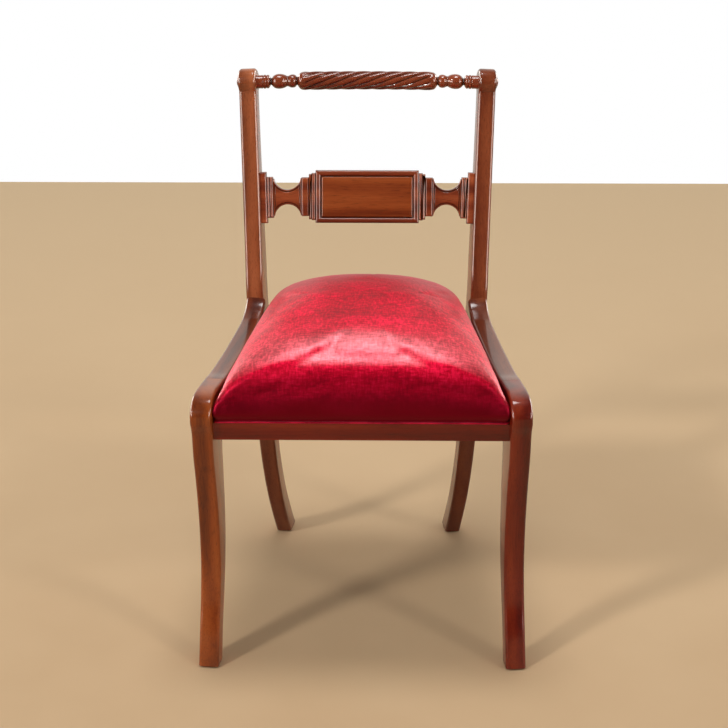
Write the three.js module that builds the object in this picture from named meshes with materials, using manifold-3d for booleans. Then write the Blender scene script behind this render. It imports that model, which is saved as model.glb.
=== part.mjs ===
// Sabre-leg dining chair with a rope-twist crest rail, a tablet splat and a velvet slip seat.
// Millimetres, +Z up, -Y towards the front, +X towards the sitter's left.
import * as THREE from 'three';
import { mergeVertices } from 'three/addons/utils/BufferGeometryUtils.js';
import Module from 'manifold-3d';

const wasm = await Module();
wasm.setup();

// Overall frame
const seatWidthFront = 495; // across the outer faces of the knees
const seatWidthBack = 389.5; // across the uprights where the side rails meet them
const seatRun = 411; // along a side rail, from the front of the knee to the front of the upright
const rearFootWidth = 311; // across the outer faces of the rear feet
const kneeHeight = 437;
const seatLedge = 396; // top of the front and rear rails, which carry the slip seat
const crestHeight = 787; // axis of the crest rail where it meets the uprights
const cantHeight = 430; // the uprights lean out above this height and in below it
const memberThickness = 31; // legs and side rails, from outer face to inner face
const uprightThickness = 28;
const frontFootThickness = 30.5;
const rearFootThickness = 25;
const edgeRadius = 4.5;
const splatBow = 10; // how far the middle lies behind a straight line between the uprights
const crestBow = 13;

// Joints
const fit = 0.3; // gap between cut faces, tenons and their mortises, screws and their holes
const overrun = 40; // how far a cutting solid passes the piece that it cuts
const tenonThickness = 10;
const tenonDepth = 17;

// Front legs
const legSweep = 36; // how far the shin lies behind the foot
const footDepth = 33;
const kneeRun = 100; // from the front of the knee to its joint with the side rail
const kneeDrop = 5; // fall of the top edge from the knee to that joint
const kneeFillet = 28; // of the corner between the back of the leg and the rail's underside
const legTaperHeight = 360;
// Height as a share of kneeHeight, setback as a share of legSweep, depth as a share of footDepth
const legShares = [
  [-0.05, -0.18, 1], [0, 0, 1], [0.121, 0.36, 0.95], [0.229, 0.72, 1.03], [0.343, 0.97, 1.17],
  [0.451, 0.985, 1.36], [0.561, 0.86, 1.52], [0.68, 0.61, 1.72], [0.78, 0.34, 1.93],
];
// Height as a share of kneeHeight, run as a share of kneeRun
const kneeShares = [[0.866, 0.078], [0.918, 0], [0.962, 0.055], [0.995, 0.32]];
// The corner behind the leg: run behind its back and drop below the rail, as shares of kneeFillet
const filletShares = [[0.9, 0.1], [0.3, 0.5]];

// Side rails
const railDepth = 50;
const railSag = 11; // how far the rail's top edge dips below the knee
const hornRise = 28; // climb of the rail's top edge where it sweeps up into the upright
const hornRun = 68;
// Place along the rail, and height above its lowest line as a share of what the knee leaves of the sag
const railShares = [[0.13, 0.33], [0.4, 0], [0.62, 0.2]];
// Run as a share of hornRun and climb as a share of hornRise, and where the underside ends
const hornShares = [[0.2, 0.14], [0.5, 0.28], [0.8, 0.58], [1, 1], [1.2, 1.8]];
const hornTailShare = 0.25;
const sideTenonHeight = 26;
const sideTenonLength = 24;
const tenonWall = 2; // between a side rail's tenon and the rear rail's, which passes below it

// Uprights: rear leg and back post in one piece
const rearLegSweep = 72;
const backSweep = 95; // from the front of the upright at the seat back to the crest rail's axis
const rearFootDepth = 43;
const headRadius = 21;
// Height as a share of seatTop, setback as a share of rearLegSweep, depth as a share of rearFootDepth
const rearLegShares = [
  [-0.05, 1.2, 1], [0, 1, 1], [0.09, 0.67, 0.95], [0.2, 0.335, 0.88], [0.335, 0.08, 0.84],
  [0.49, -0.05, 0.86], [0.67, -0.09, 0.93], [0.85, -0.05, 1], [1, 0, 1.03],
];
// The same above the seat: shares of the post's height, of backSweep and of rearFootDepth
const backShares = [
  [0.16, 0.14, 0.97], [0.34, 0.3, 0.86], [0.542, 0.468, 0.76], [0.785, 0.67, 0.67], [1, 0.848, 0.65],
];

// Front and rear rails
const frontRailSetback = 12;
const frontRailHeight = 26;
const rearRailHeight = 48;
const crossRailThickness = 22;
const railEdgeRadius = 1.5;
const crossTenonShoulder = 3; // from a cross rail's edge to its tenon

// Corner blocks and screws
const blockLeg = 62;
const blockHeight = 22;
const blockTip = 9;
const seatScrewInset = 17; // from a cross rail
const railScrewInset = 38;
const screwShankRadius = 2;
const screwHeadRadius = 4.2;
const screwHeadHeight = 2.6;
const railScrewLength = 26;
const seatScrewLength = 34;
const counterboreRadius = 5;

// Glides
const glideHeight = 3;
const glideRadius = 8;
const glideEdge = 1.2;
const glidePinRadius = 1.4;
const glidePinLength = 12;

// Crest rail: a rope twist between two turned ends
const crestRadius = 14.8;
const twistShare = 0.614; // end of the twist, between the middle and the upright's inner face
const twistLobes = 8;
const twistLobeDepth = 2.2;
const twistPitch = 200; // length in which a lobe goes once round
const twistFade = 18; // length over which the lobes rise at each end
const twistRound = 8; // length over which the twist's ends are rounded
const twistEndShare = 0.86;
const crestTenonRadius = 8;
const crestTenonLength = 12;
const beadNeck = 6.6;
const beadRadius = 10.6;
const vaseNeck = 8.4;
const vaseRadius = 11.9;
const collarNeck = 5.7;
const collarRadius = 10.8;
// Place between the twist and the upright, then the radius there as a share of the one that it follows
const shoulderShares = [[-0.12, 0.84], [0, 0.84], [0.025, 0.72], [0.045, 0.56]];
const beadNeckShares = [[0.06, 1]];
const beadShares = [[0.08, 0.68], [0.1, 0.85], [0.135, 0.97], [0.175, 1], [0.215, 0.97], [0.25, 0.87]];
const vaseNeckShares = [[0.28, 1], [0.305, 1]];
const vaseShares = [
  [0.34, 0.82], [0.39, 0.93], [0.44, 0.985], [0.49, 1], [0.55, 0.96], [0.6, 0.84], [0.64, 0.65],
];
const collarNeckShares = [[0.665, 1], [0.685, 1]];
const collarShares = [
  [0.7, 0.7], [0.72, 0.9], [0.74, 1], [0.775, 1], [0.785, 0.93], [0.795, 1], [0.85, 1], [0.86, 0.93],
  [0.87, 1],
];
const crestButtonRadius = 10.5;
const crestButtonHeight = 5;
const crestButtonShares = [[1, 0.35], [0.86, 0.55], [0.6, 0.85]]; // of its radius and of its height
const buttonStubRadius = 4.5;
const buttonStubLength = 6;

// Splat, seen from the front
const splatHeightShare = 0.457; // its middle, between the seat's top and the crest rail's axis
const splatDepthShare = 0.34; // place of its middle in rearFootDepth
// Places across, from the middle to the upright's inner face
const tabletShare = 0.489;
const innerReedShare = 0.551;
const innerStepShare = 0.62;
const waistShare = 0.888;
const outerReedShare = 0.947;
const tabletHeight = 85;
const tabletThickness = 22;
const panelBorder = 9;
const panelGroove = 2;
const panelRecess = 3;
const panelThickness = 2.4;
const panelEdge = 0.5;
const innerReedHeight = 73;
const innerStepHeight = 62.5;
const waistHeight = 23.5;
const waistShoulder = 60;
const waistMargin = 2.4;
const waistRelief = 1;
const outerReedHeight = 66;
const outerStepHeight = 82.5;
const armThickness = 15;
const reedThickness = 18;
const stepThickness = 20;
const splatEdge = 1.6;
const armTenonHeight = 34;
const armTenonLength = 12;
const tabletTenonHeight = 18;
const tabletTenonThickness = 7;

// Slip seat
const seatSideClearance = 0.8; // from the cushion to the rails
const seatOverhang = 3; // how far the cushion bulges in front of the front rail
const seatBackReach = 19; // how far the cushion reaches back past the front of the uprights
const seatFrontCorner = 12;
const seatBackCorner = 46;
const coverThickness = 1.5;
const drawIn = 3; // how far the cover is drawn in at its lower edge
const hemWidth = 20;
const sideWall = 18; // height of the cushion's upright edge
const crownHeight = 100;
const crownAcrossPower = 3;
const crownAlongPower = 4;
const seatFrameThickness = 19;
const seatFrameMember = 46;
const seatFrameInset = 4;
const seatScrewEdge = 9; // from the side edge of the seat frame
const webWidth = 50;
const webThickness = 1.5;
const webLap = 27; // how far a strap lies over the seat frame
const webLengthwise = 4;
const webCrosswise = 3;
const hessianThickness = 0.8;
const dustCoverThickness = 0.8;

// Resolution
const sweepSteps = 36;
const bevelSteps = 2;
const splatBevelSteps = 1;
const headSteps = 9;
const latheSegments = 14;
const smallSegments = 8;
const twistRings = 32;
const pointsPerLobe = 3;
const domeRings = 9;
const seatEdgeSteps = 7;
const seatCornerSteps = 3;
const arcSteps = 9;

// Derived frame geometry
const toe = Math.asin((seatWidthFront - seatWidthBack) / 2 / seatRun);
const rearFootRun = seatRun + rearLegSweep + rearFootDepth / 2;
const rearFootLean = (seatWidthFront - rearFootWidth) / 2 - rearFootRun * Math.sin(toe);
const cant = Math.atan2(rearFootLean, cantHeight);
const railTop = kneeHeight - railSag;
const seatTop = railTop + hornRise;
const sidePlane = new THREE.Matrix4().makeRotationZ(toe).setPosition(seatWidthFront / 2, 0, 0);
const uprightPlane = sidePlane.clone()
  .multiply(new THREE.Matrix4().makeTranslation(0, 0, cantHeight))
  .multiply(new THREE.Matrix4().makeRotationY(cant))
  .multiply(new THREE.Matrix4().makeTranslation(0, 0, -cantHeight));

// Half the clear width between the side rails, and between the uprights at a height
const innerHalfWidth = (y) => seatWidthFront / 2 - memberThickness / Math.cos(toe) - y * Math.tan(toe);
const innerFaceAt = (height, y) => innerHalfWidth(y) + memberThickness - uprightThickness
  + (height - cantHeight) * Math.tan(cant);

// Run of an upright's front edge at a height above the seat
function frontRunAt(height) {
  const at = (height - seatTop) / (crestHeight - seatTop);
  const stations = [[0, 0], ...backShares];
  const next = stations.findIndex(([place]) => place >= at);
  const [low, lowRun] = stations[next - 1];
  const [high, highRun] = stations[next];
  return seatRun + backSweep * THREE.MathUtils.mapLinear(at, low, high, lowRun, highRun);
}

// Solids: welding, booleans and mirror copies
function weld(geometry) {
  const bare = geometry.clone();
  bare.deleteAttribute('normal');
  bare.deleteAttribute('uv');
  const merged = mergeVertices(bare);
  const kept = [];
  for (let i = 0; i < merged.index.count; i += 3) {
    const [a, b, c] = [0, 1, 2].map((k) => merged.index.getX(i + k));
    if (a !== b && b !== c && c !== a) kept.push(a, b, c);
  }
  merged.setIndex(kept);
  return merged;
}

function solidOf(geometry) {
  const welded = weld(geometry);
  return new wasm.Manifold(new wasm.Mesh({
    numProp: 3,
    vertProperties: new Float32Array(welded.attributes.position.array),
    triVerts: new Uint32Array(welded.index.array),
  }));
}

function geometryOf(solid) {
  const mesh = solid.getMesh();
  const geometry = new THREE.BufferGeometry();
  geometry.setAttribute('position', new THREE.BufferAttribute(mesh.vertProperties, 3));
  geometry.setIndex(new THREE.BufferAttribute(mesh.triVerts, 1));
  geometry.computeVertexNormals();
  return geometry;
}

function mirrored(geometry) {
  const copy = weld(geometry).scale(-1, 1, 1);
  const index = copy.index.array;
  for (let i = 0; i < index.length; i += 3) {
    [index[i + 1], index[i + 2]] = [index[i + 2], index[i + 1]];
  }
  copy.computeVertexNormals();
  return copy;
}

const mirroredSolid = (solid) => solidOf(mirrored(geometryOf(solid)));
const joined = (...solids) => solids.reduce((whole, solid) => whole.add(solid));
const cutBy = (solid, ...cutters) => cutters.reduce((rest, cutter) => rest.subtract(cutter), solid);

// A box between two corners, given as [x, y, z]
function boxBetween(low, high) {
  const size = high.map((value, i) => value - low[i]);
  return new THREE.BoxGeometry(...size).translate(...low.map((value, i) => value + size[i] / 2));
}

// An outline of [run, height] points, extruded inwards from the outer face of a side plane
function sideBlade(outline, thickness, radius) {
  const geometry = new THREE.ExtrudeGeometry(new THREE.Shape(outline), {
    depth: thickness - 2 * radius,
    bevelEnabled: radius > 0,
    bevelThickness: radius,
    bevelSize: radius,
    bevelOffset: -radius,
    bevelSegments: bevelSteps,
  });
  const axes = new THREE.Matrix4().makeBasis(
    new THREE.Vector3(0, 1, 0),
    new THREE.Vector3(0, 0, 1),
    new THREE.Vector3(1, 0, 0),
  );
  return geometry.translate(0, 0, radius - thickness).applyMatrix4(axes);
}

// Thins a blade's inner face towards the foot, from the taper's height down
function taperToFoot(geometry, thickness, footThickness) {
  const position = geometry.attributes.position;
  for (let i = 0; i < position.count; i += 1) {
    const fall = THREE.MathUtils.clamp(1 - position.getZ(i) / legTaperHeight, 0, 1);
    const scale = 1 - fall * (1 - footThickness / thickness);
    position.setX(i, position.getX(i) * scale);
  }
  return geometry;
}

// Curves a piece of the back, most at the middle of the chair and not at all where it meets the uprights
function bowed(geometry, depth, halfSpan) {
  const position = geometry.attributes.position;
  for (let i = 0; i < position.count; i += 1) {
    const bow = depth * (1 - (position.getX(i) / halfSpan) ** 2);
    position.setY(i, position.getY(i) + bow);
  }
  return geometry;
}

const smoothEdge = (points, steps) => new THREE.SplineCurve(
  points.map(([run, height]) => new THREE.Vector2(run, height)),
).getPoints(steps);

// The same edge with a straight end before it, so that rounding starts beyond the part that is kept
function withLeadIn(points) {
  const [first, second] = points;
  const lead = first.clone().sub(second).setLength(overrun);
  return [first.clone().add(lead), ...points.slice(1)];
}
const withTail = (points) => withLeadIn(points.slice().reverse()).reverse();

// A front leg and its side rail, as one sweeping outline from the foot to the upright
function sideOutline() {
  const railSpan = seatRun - kneeRun;
  const front = legShares.map(([height, sweep]) => [sweep * legSweep, height * kneeHeight]);
  const knee = kneeShares.map(([height, run]) => [run * kneeRun, height * kneeHeight]);
  const kneeTop = [kneeRun, kneeHeight - kneeDrop];
  const top = railShares.map(([place, rise]) => [
    kneeRun + place * railSpan,
    railTop + (railSag - kneeDrop) * rise,
  ]);
  const horn = hornShares.map(([run, rise]) => [
    seatRun - hornRun * (1 - run),
    railTop + hornRise * rise,
  ]);
  const outer = smoothEdge([...front, ...knee, kneeTop, ...top, ...horn], sweepSteps);
  const under = railTop - railDepth;
  const back = legShares.map(([height, sweep, depth]) => [
    sweep * legSweep + depth * footDepth,
    height * kneeHeight,
  ]);
  const [legBack] = back[back.length - 1];
  const fillet = filletShares.map(([run, drop]) => [legBack + run * kneeFillet, under - drop * kneeFillet]);
  const underside = railShares.map(([place]) => [kneeRun + place * railSpan, under]);
  const inner = smoothEdge([
    [seatRun + hornTailShare * hornRun, under + edgeRadius],
    ...underside.reverse(),
    ...fillet,
    ...back.reverse(),
  ], sweepSteps);
  return [...withTail(withLeadIn(outer)), ...withTail(withLeadIn(inner))];
}

// The front and back edges of an upright, with the front one moved forward by a clearance
function uprightOutline(clearance) {
  const postHeight = crestHeight - seatTop;
  const leg = rearLegShares.map(([height, sweep, depth]) => [
    seatRun + sweep * rearLegSweep, height * seatTop, depth * rearFootDepth,
  ]);
  const post = backShares.map(([height, sweep, depth]) => [
    seatRun + sweep * backSweep, seatTop + height * postHeight, depth * rearFootDepth,
  ]);
  const stations = [...leg, ...post];
  const front = smoothEdge(stations.map(([run, height]) => [run - clearance, height]), sweepSteps);
  const back = smoothEdge(stations.map(([run, height, depth]) => [run + depth, height]), sweepSteps);
  return [...withLeadIn(front), ...withLeadIn(back).reverse()];
}

// The space on the outer side of a plane's inner face, grown by a clearance
function slabOutside(plane, thickness, clearance) {
  const reach = seatWidthFront;
  const slab = boxBetween([-thickness - clearance, -overrun, -overrun], [reach, 2 * reach, 2 * reach]);
  return solidOf(slab.applyMatrix4(plane));
}

// Left side frame, on the +X side: the right one is its mirror copy
const sideFrame = sideBlade(sideOutline(), memberThickness, edgeRadius);
taperToFoot(sideFrame, memberThickness, frontFootThickness);
const sideSolid = solidOf(sideFrame.applyMatrix4(sidePlane));
const belowFeet = solidOf(boxBetween(
  [-seatWidthFront, -seatWidthFront, -seatWidthFront],
  [seatWidthFront, 2 * seatWidthFront, glideHeight],
));
const sideStretch = (start, end) => solidOf(boxBetween(
  [-memberThickness - overrun, start, 0],
  [overrun, end, crestHeight],
).applyMatrix4(sidePlane));

// A tenon between a knee or an upright and the side rail, in the side plane
function sideTenon(start, end, clearance) {
  const middle = railTop - railDepth / 2;
  const half = tenonThickness / 2 + clearance;
  const low = [-memberThickness / 2 - half, start - clearance, middle - sideTenonHeight / 2 - clearance];
  const high = [-memberThickness / 2 + half, end + clearance, middle + sideTenonHeight / 2 + clearance];
  return solidOf(boxBetween(low, high).applyMatrix4(sidePlane));
}
const kneeTenon = (clearance) => sideTenon(kneeRun - sideTenonLength, kneeRun + sideTenonLength, clearance);
const backTenon = (clearance) => sideTenon(seatRun - sideTenonLength, seatRun + sideTenonLength, clearance);

// A cross rail between the two sides, with its tenons
const frontRailBack = frontRailSetback + crossRailThickness;
const rearRailMiddle = (seatRun + rearFootDepth / 2) * Math.cos(toe);
const rearRailFront = rearRailMiddle - crossRailThickness / 2;
const rearTenonTop = railTop - railDepth / 2 - sideTenonHeight / 2 - tenonWall;

function crossTenon(middleY, bottom, top, halfLength, clearance) {
  const half = tenonThickness / 2 + clearance;
  return solidOf(boxBetween(
    [-halfLength, middleY - half, bottom - clearance],
    [halfLength, middleY + half, top + clearance],
  ));
}
const frontTenon = (clearance) => crossTenon(
  frontRailSetback + crossRailThickness / 2,
  seatLedge - frontRailHeight + crossTenonShoulder,
  seatLedge - crossTenonShoulder,
  innerHalfWidth(frontRailSetback) + tenonDepth + clearance,
  clearance,
);
const rearTenon = (clearance) => crossTenon(
  rearRailMiddle,
  seatLedge - rearRailHeight + crossTenonShoulder,
  rearTenonTop,
  innerHalfWidth(rearRailMiddle) + tenonDepth + clearance,
  clearance,
);

function crossRail(front, height, plane, thickness, tenon) {
  const profile = new THREE.Shape([
    new THREE.Vector2(front, seatLedge - height),
    new THREE.Vector2(front + crossRailThickness, seatLedge - height),
    new THREE.Vector2(front + crossRailThickness, seatLedge),
    new THREE.Vector2(front, seatLedge),
  ]);
  const length = seatWidthFront + overrun;
  const bar = sideBlade(profile.getPoints(), length, railEdgeRadius).translate(length / 2, 0, 0);
  const slab = slabOutside(plane, thickness, fit);
  return joined(cutBy(solidOf(bar), slab, mirroredSolid(slab)), tenon(0));
}

const frontRail = crossRail(frontRailSetback, frontRailHeight, sidePlane, memberThickness, frontTenon);
const rearRail = crossRail(rearRailFront, rearRailHeight, uprightPlane, uprightThickness, rearTenon);

// Slip seat: its plan lies between the rails
const seatFront = frontRailSetback - seatOverhang;
const seatBack = seatRun + seatBackReach;
const seatMiddleY = (seatFront + seatBack) / 2;
const seatHalfFront = innerHalfWidth(seatFront) - seatSideClearance;
const seatHalfBack = innerHalfWidth(seatBack) - seatSideClearance - (cantHeight - seatLedge) * Math.tan(cant);
const seatHalfAt = (y) => THREE.MathUtils.mapLinear(y, seatFront, seatBack, seatHalfFront, seatHalfBack);
const seatFrameHalf = (y) => seatHalfAt(y) - seatFrameInset - drawIn;

// Screws point along +Z, with the head's outer face at the origin
function screwShape(length, clearance, counterbore) {
  const shank = screwShankRadius + clearance;
  const head = screwHeadRadius + clearance;
  const points = [
    [0, -counterbore],
    [counterbore > 0 ? counterboreRadius : head, -counterbore],
    [counterbore > 0 ? counterboreRadius : head, 0],
    [head, 0],
    [shank, screwHeadHeight + clearance],
    [shank, length - screwShankRadius],
    [0, length + clearance],
  ];
  const kept = points.filter(([r, z], i) => i === 0 || r !== points[i - 1][0] || z !== points[i - 1][1]);
  const profile = kept.map(([r, z]) => new THREE.Vector2(r, z));
  return new THREE.LatheGeometry(profile, smallSegments).rotateX(Math.PI / 2);
}

function aimed(geometry, origin, direction) {
  const turn = new THREE.Quaternion().setFromUnitVectors(new THREE.Vector3(0, 0, 1), direction);
  return geometry.clone().applyQuaternion(turn).translate(...origin.toArray());
}

// Corner blocks, on the +X side: each with two screws into the rails and one up into the slip seat
const outwards = new THREE.Vector3(Math.cos(toe), Math.sin(toe), 0);
const corners = [
  { name: 'front', face: frontRailBack, away: 1 },
  { name: 'rear', face: rearRailFront, away: -1 },
].map(({ name, face, away }) => {
  const start = face + away * fit;
  const cornerX = innerHalfWidth(start);
  const far = start + away * blockLeg;
  const outline = [
    new THREE.Vector2(cornerX + overrun, start),
    new THREE.Vector2(cornerX + overrun, far),
    new THREE.Vector2(innerHalfWidth(far) - blockTip, far),
    new THREE.Vector2(cornerX - blockLeg, start + away * blockTip),
    new THREE.Vector2(cornerX - blockLeg, start),
  ];
  const prism = new THREE.ExtrudeGeometry(new THREE.Shape(outline), {
    depth: blockHeight,
    bevelEnabled: false,
  }).translate(0, 0, seatLedge - blockHeight - fit);
  const block = cutBy(
    solidOf(prism),
    slabOutside(sidePlane, memberThickness, fit),
    slabOutside(uprightPlane, uprightThickness, fit),
  );
  const middle = seatLedge - fit - blockHeight / 2;
  const sunk = blockLeg - railScrewInset - railScrewLength / 2;
  const toRail = {
    name: `block_screw_${name}_rail`,
    length: railScrewLength,
    origin: new THREE.Vector3(cornerX - railScrewInset, face + away * sunk, middle),
    direction: new THREE.Vector3(0, -away, 0),
  };
  const sideY = start + away * railScrewInset;
  const screwY = start + away * seatScrewInset;
  const toSide = {
    name: `block_screw_${name}_side`,
    length: railScrewLength,
    origin: new THREE.Vector3(innerHalfWidth(sideY), sideY, middle).addScaledVector(outwards, -sunk),
    direction: outwards,
  };
  const toSeat = {
    name: `seat_screw_${name}`,
    length: seatScrewLength,
    origin: new THREE.Vector3(seatFrameHalf(screwY) - seatScrewEdge, screwY, seatLedge - fit - blockHeight),
    direction: new THREE.Vector3(0, 0, 1),
  };
  return { name, block, screws: [toRail, toSide, toSeat] };
});
const screwsLeft = corners.flatMap((corner) => corner.screws);
const hole = (screw) => solidOf(
  aimed(screwShape(screw.length, fit, overrun), screw.origin, screw.direction),
);
const holesLeft = screwsLeft.map(hole);
const holesRight = holesLeft.map(mirroredSolid);
const allHoles = [...holesLeft, ...holesRight];

// Glides under the feet, with a pin up into each leg
function glideShape(clearance) {
  const profile = [
    [0, 0],
    [glideRadius - glideEdge, 0],
    [glideRadius, glideEdge],
    [glideRadius, glideHeight],
    [glidePinRadius + clearance, glideHeight],
    [glidePinRadius + clearance, glideHeight + glidePinLength + clearance],
    [0, glideHeight + glidePinLength + glidePinRadius + clearance],
  ].map(([r, z]) => new THREE.Vector2(r, z));
  return new THREE.LatheGeometry(profile, smallSegments).rotateX(Math.PI / 2);
}

const footMiddle = (plane, run, thickness) => {
  const point = new THREE.Vector3(-thickness / 2, run, 0).applyMatrix4(plane);
  return [point.x, point.y];
};
const glidePlaces = {
  front: footMiddle(sidePlane, footDepth / 2, frontFootThickness),
  rear: footMiddle(uprightPlane, rearFootRun, rearFootThickness),
};
const pinHole = ([x, y]) => solidOf(glideShape(fit).translate(x, y, 0));

// Upright with its scroll head
const headRun = seatRun + backSweep;
const headCentre = new THREE.Vector3(0, headRun, crestHeight);
const headAxis = new THREE.Vector3(headRun, crestHeight, 0);
const headOutline = new THREE.Shape().absarc(headAxis.x, headAxis.y, headRadius, 0, 2 * Math.PI);
const head = sideBlade(headOutline.getPoints(headSteps), uprightThickness, edgeRadius);
const blade = sideBlade(uprightOutline(0), uprightThickness, edgeRadius);
taperToFoot(blade, uprightThickness, rearFootThickness);
const uprightBlank = joined(
  solidOf(blade.applyMatrix4(uprightPlane)),
  solidOf(head.applyMatrix4(uprightPlane)),
);
const uprightKnife = solidOf(
  sideBlade(uprightOutline(fit), uprightThickness + 2 * overrun, 0)
    .translate(overrun, 0, 0).applyMatrix4(uprightPlane),
);

// Splat: its places run along X from the middle of the chair, in a plane raked like the uprights
const splatHeight = seatTop + splatHeightShare * (crestHeight - seatTop);
const splatY = (frontRunAt(splatHeight) + splatDepthShare * rearFootDepth) * Math.cos(toe);
const splatFall = frontRunAt(splatHeight + tabletHeight / 2) - frontRunAt(splatHeight - tabletHeight / 2);
const rake = Math.atan2(splatFall * Math.cos(toe), tabletHeight);
const splatPlane = new THREE.Matrix4().makeRotationX(Math.PI / 2 - rake).setPosition(0, splatY, splatHeight);
const splatHalfSpan = innerFaceAt(splatHeight, splatY);
const armStart = tabletShare * splatHalfSpan;
const reedEnd = innerReedShare * splatHalfSpan;
const stepEnd = innerStepShare * splatHalfSpan;
const waistEnd = waistShare * splatHalfSpan;
const outerReedEnd = outerReedShare * splatHalfSpan;
const tabletBow = splatBow * (1 - tabletShare ** 2);
const tabletPlane = new THREE.Matrix4().makeTranslation(0, tabletBow, 0).multiply(splatPlane);
// How far an upright's inner face moves outwards as it climbs along the splat's plane
const splatLean = Math.cos(rake) * Math.tan(cant) - Math.sin(rake) * Math.tan(toe);

// A plate in the splat's plane, centred on it, with softened edges
function splatPlate(outline, thickness, edge) {
  return new THREE.ExtrudeGeometry(new THREE.Shape(outline), {
    depth: thickness - 2 * edge,
    bevelEnabled: edge > 0,
    bevelThickness: edge,
    bevelSize: edge,
    bevelOffset: -edge,
    bevelSegments: splatBevelSteps,
  }).translate(0, 0, edge - thickness / 2);
}

const rectangle = (x0, x1, height) => [
  new THREE.Vector2(x0, -height / 2),
  new THREE.Vector2(x1, -height / 2),
  new THREE.Vector2(x1, height / 2),
  new THREE.Vector2(x0, height / 2),
];

// The waist is a bar hollowed above and below by arcs
function waistOutline(margin) {
  const from = stepEnd + margin;
  const to = waistEnd - margin;
  const lip = splatEdge + margin;
  const half = (to - from) / 2 - lip;
  const sag = (waistShoulder - waistHeight) / 2;
  const radius = (half * half + sag * sag) / (2 * sag);
  const spread = Math.asin(half / radius);
  const middle = (from + to) / 2;
  const rise = waistHeight / 2 - margin + radius;
  const arc = Array.from({ length: arcSteps + 1 }, (_, i) => {
    const angle = spread * (1 - (2 * i) / arcSteps);
    return new THREE.Vector2(middle + radius * Math.sin(angle), rise - radius * Math.cos(angle));
  });
  const shoulder = arc[0].y;
  const upper = [new THREE.Vector2(to, shoulder), ...arc, new THREE.Vector2(from, shoulder)];
  const lower = upper.map((point) => new THREE.Vector2(point.x, -point.y)).reverse();
  return [...lower, ...upper];
}

// Tilts an arm's outline from upright at the tablet to the upright's slope at its far end
const leaning = (outline) => outline.map(({ x, y }) => {
  const along = (x - armStart) / (splatHalfSpan - armStart);
  return new THREE.Vector2(x + y * splatLean * along, y);
});
const armPlate = (outline, thickness, edge) => solidOf(
  bowed(splatPlate(leaning(outline), thickness, edge).applyMatrix4(splatPlane), splatBow, splatHalfSpan),
);

function splatArm() {
  const lap = splatEdge;
  const reedMiddle = (armStart + reedEnd) / 2;
  const whole = joined(
    armPlate(rectangle(armStart, reedMiddle + lap, innerReedHeight), stepThickness, splatEdge),
    armPlate(rectangle(reedMiddle, reedEnd + lap, innerReedHeight), stepThickness, splatEdge),
    armPlate(rectangle(reedEnd, stepEnd + lap, innerStepHeight), reedThickness, splatEdge),
    armPlate(waistOutline(0), armThickness, 0),
    armPlate(waistOutline(waistMargin), armThickness + 2 * waistRelief, 0),
    armPlate(rectangle(stepEnd - lap, waistEnd + lap, waistHeight), armThickness, 0),
    armPlate(rectangle(waistEnd - lap, outerReedEnd + lap, outerReedHeight), reedThickness, splatEdge),
    armPlate(rectangle(outerReedEnd, splatHalfSpan + overrun, outerStepHeight), stepThickness, splatEdge),
  );
  const tabletSide = splatPlate(rectangle(-armStart, armStart + fit, seatWidthFront), seatWidthFront, 0);
  const trimmed = cutBy(
    whole,
    slabOutside(uprightPlane, uprightThickness, fit),
    solidOf(tabletSide.applyMatrix4(splatPlane)),
  );
  return joined(trimmed, armTenon(0), tabletTenon(0));
}

function armTenon(clearance) {
  const tenon = splatPlate(
    rectangle(outerReedEnd, splatHalfSpan + armTenonLength + clearance, armTenonHeight + 2 * clearance),
    tenonThickness + 2 * clearance,
    0,
  );
  return solidOf(bowed(tenon.applyMatrix4(splatPlane), splatBow, splatHalfSpan));
}

function tabletTenon(clearance) {
  return solidOf(splatPlate(
    rectangle(armStart - armTenonLength - clearance, reedEnd, tabletTenonHeight + 2 * clearance),
    tabletTenonThickness + 2 * clearance,
    0,
  ).applyMatrix4(tabletPlane));
}

function splatTablet() {
  const block = splatPlate(rectangle(-armStart, armStart, tabletHeight), tabletThickness, splatEdge);
  const recessEnd = armStart - panelBorder;
  const recess = splatPlate(
    rectangle(-recessEnd, recessEnd, tabletHeight - 2 * panelBorder),
    2 * panelRecess,
    0,
  ).translate(0, 0, tabletThickness / 2);
  const mortise = tabletTenon(fit);
  return cutBy(
    solidOf(block.applyMatrix4(tabletPlane)),
    solidOf(recess.applyMatrix4(tabletPlane)),
    mortise,
    mirroredSolid(mortise),
  );
}

function splatPanel() {
  const half = armStart - panelBorder - panelGroove;
  const height = tabletHeight - 2 * (panelBorder + panelGroove);
  return splatPlate(rectangle(-half, half, height), panelThickness, panelEdge)
    .translate(0, 0, tabletThickness / 2 - panelRecess + panelThickness / 2)
    .applyMatrix4(tabletPlane);
}

// Crest rail: lobes that climb along the middle, turned work at both ends
const crestY = headRun * Math.cos(toe);
const crestHalfSpan = innerFaceAt(crestHeight, crestY);
const twistHalfLength = twistShare * crestHalfSpan;
const crestEndLength = crestHalfSpan - twistHalfLength;
const onCrest = (geometry) => solidOf(
  bowed(geometry.translate(0, crestY, crestHeight), crestBow, crestHalfSpan),
);

function twistBar() {
  const around = twistLobes * pointsPerLobe;
  const rings = [];
  for (let j = 0; j <= twistRings; j += 1) {
    const x = twistHalfLength * ((j / twistRings) * 2 - 1);
    const turn = (x / twistPitch) * 2 * Math.PI;
    const toEnd = twistHalfLength - Math.abs(x);
    const fade = Math.min(1, toEnd / twistFade);
    const round = 1 - (1 - twistEndShare) * Math.max(0, 1 - toEnd / twistRound) ** 2;
    rings.push(Array.from({ length: around }, (_, i) => {
      const start = (i / around) * 2 * Math.PI;
      const wave = (1 + Math.cos(twistLobes * start)) / 2;
      const radius = round * (crestRadius - twistLobeDepth * fade * wave);
      return [x, radius * Math.cos(start - turn), radius * Math.sin(start - turn)];
    }));
  }
  return ringSolid(rings, [-twistHalfLength, 0, 0], [twistHalfLength, 0, 0]);
}

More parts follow.
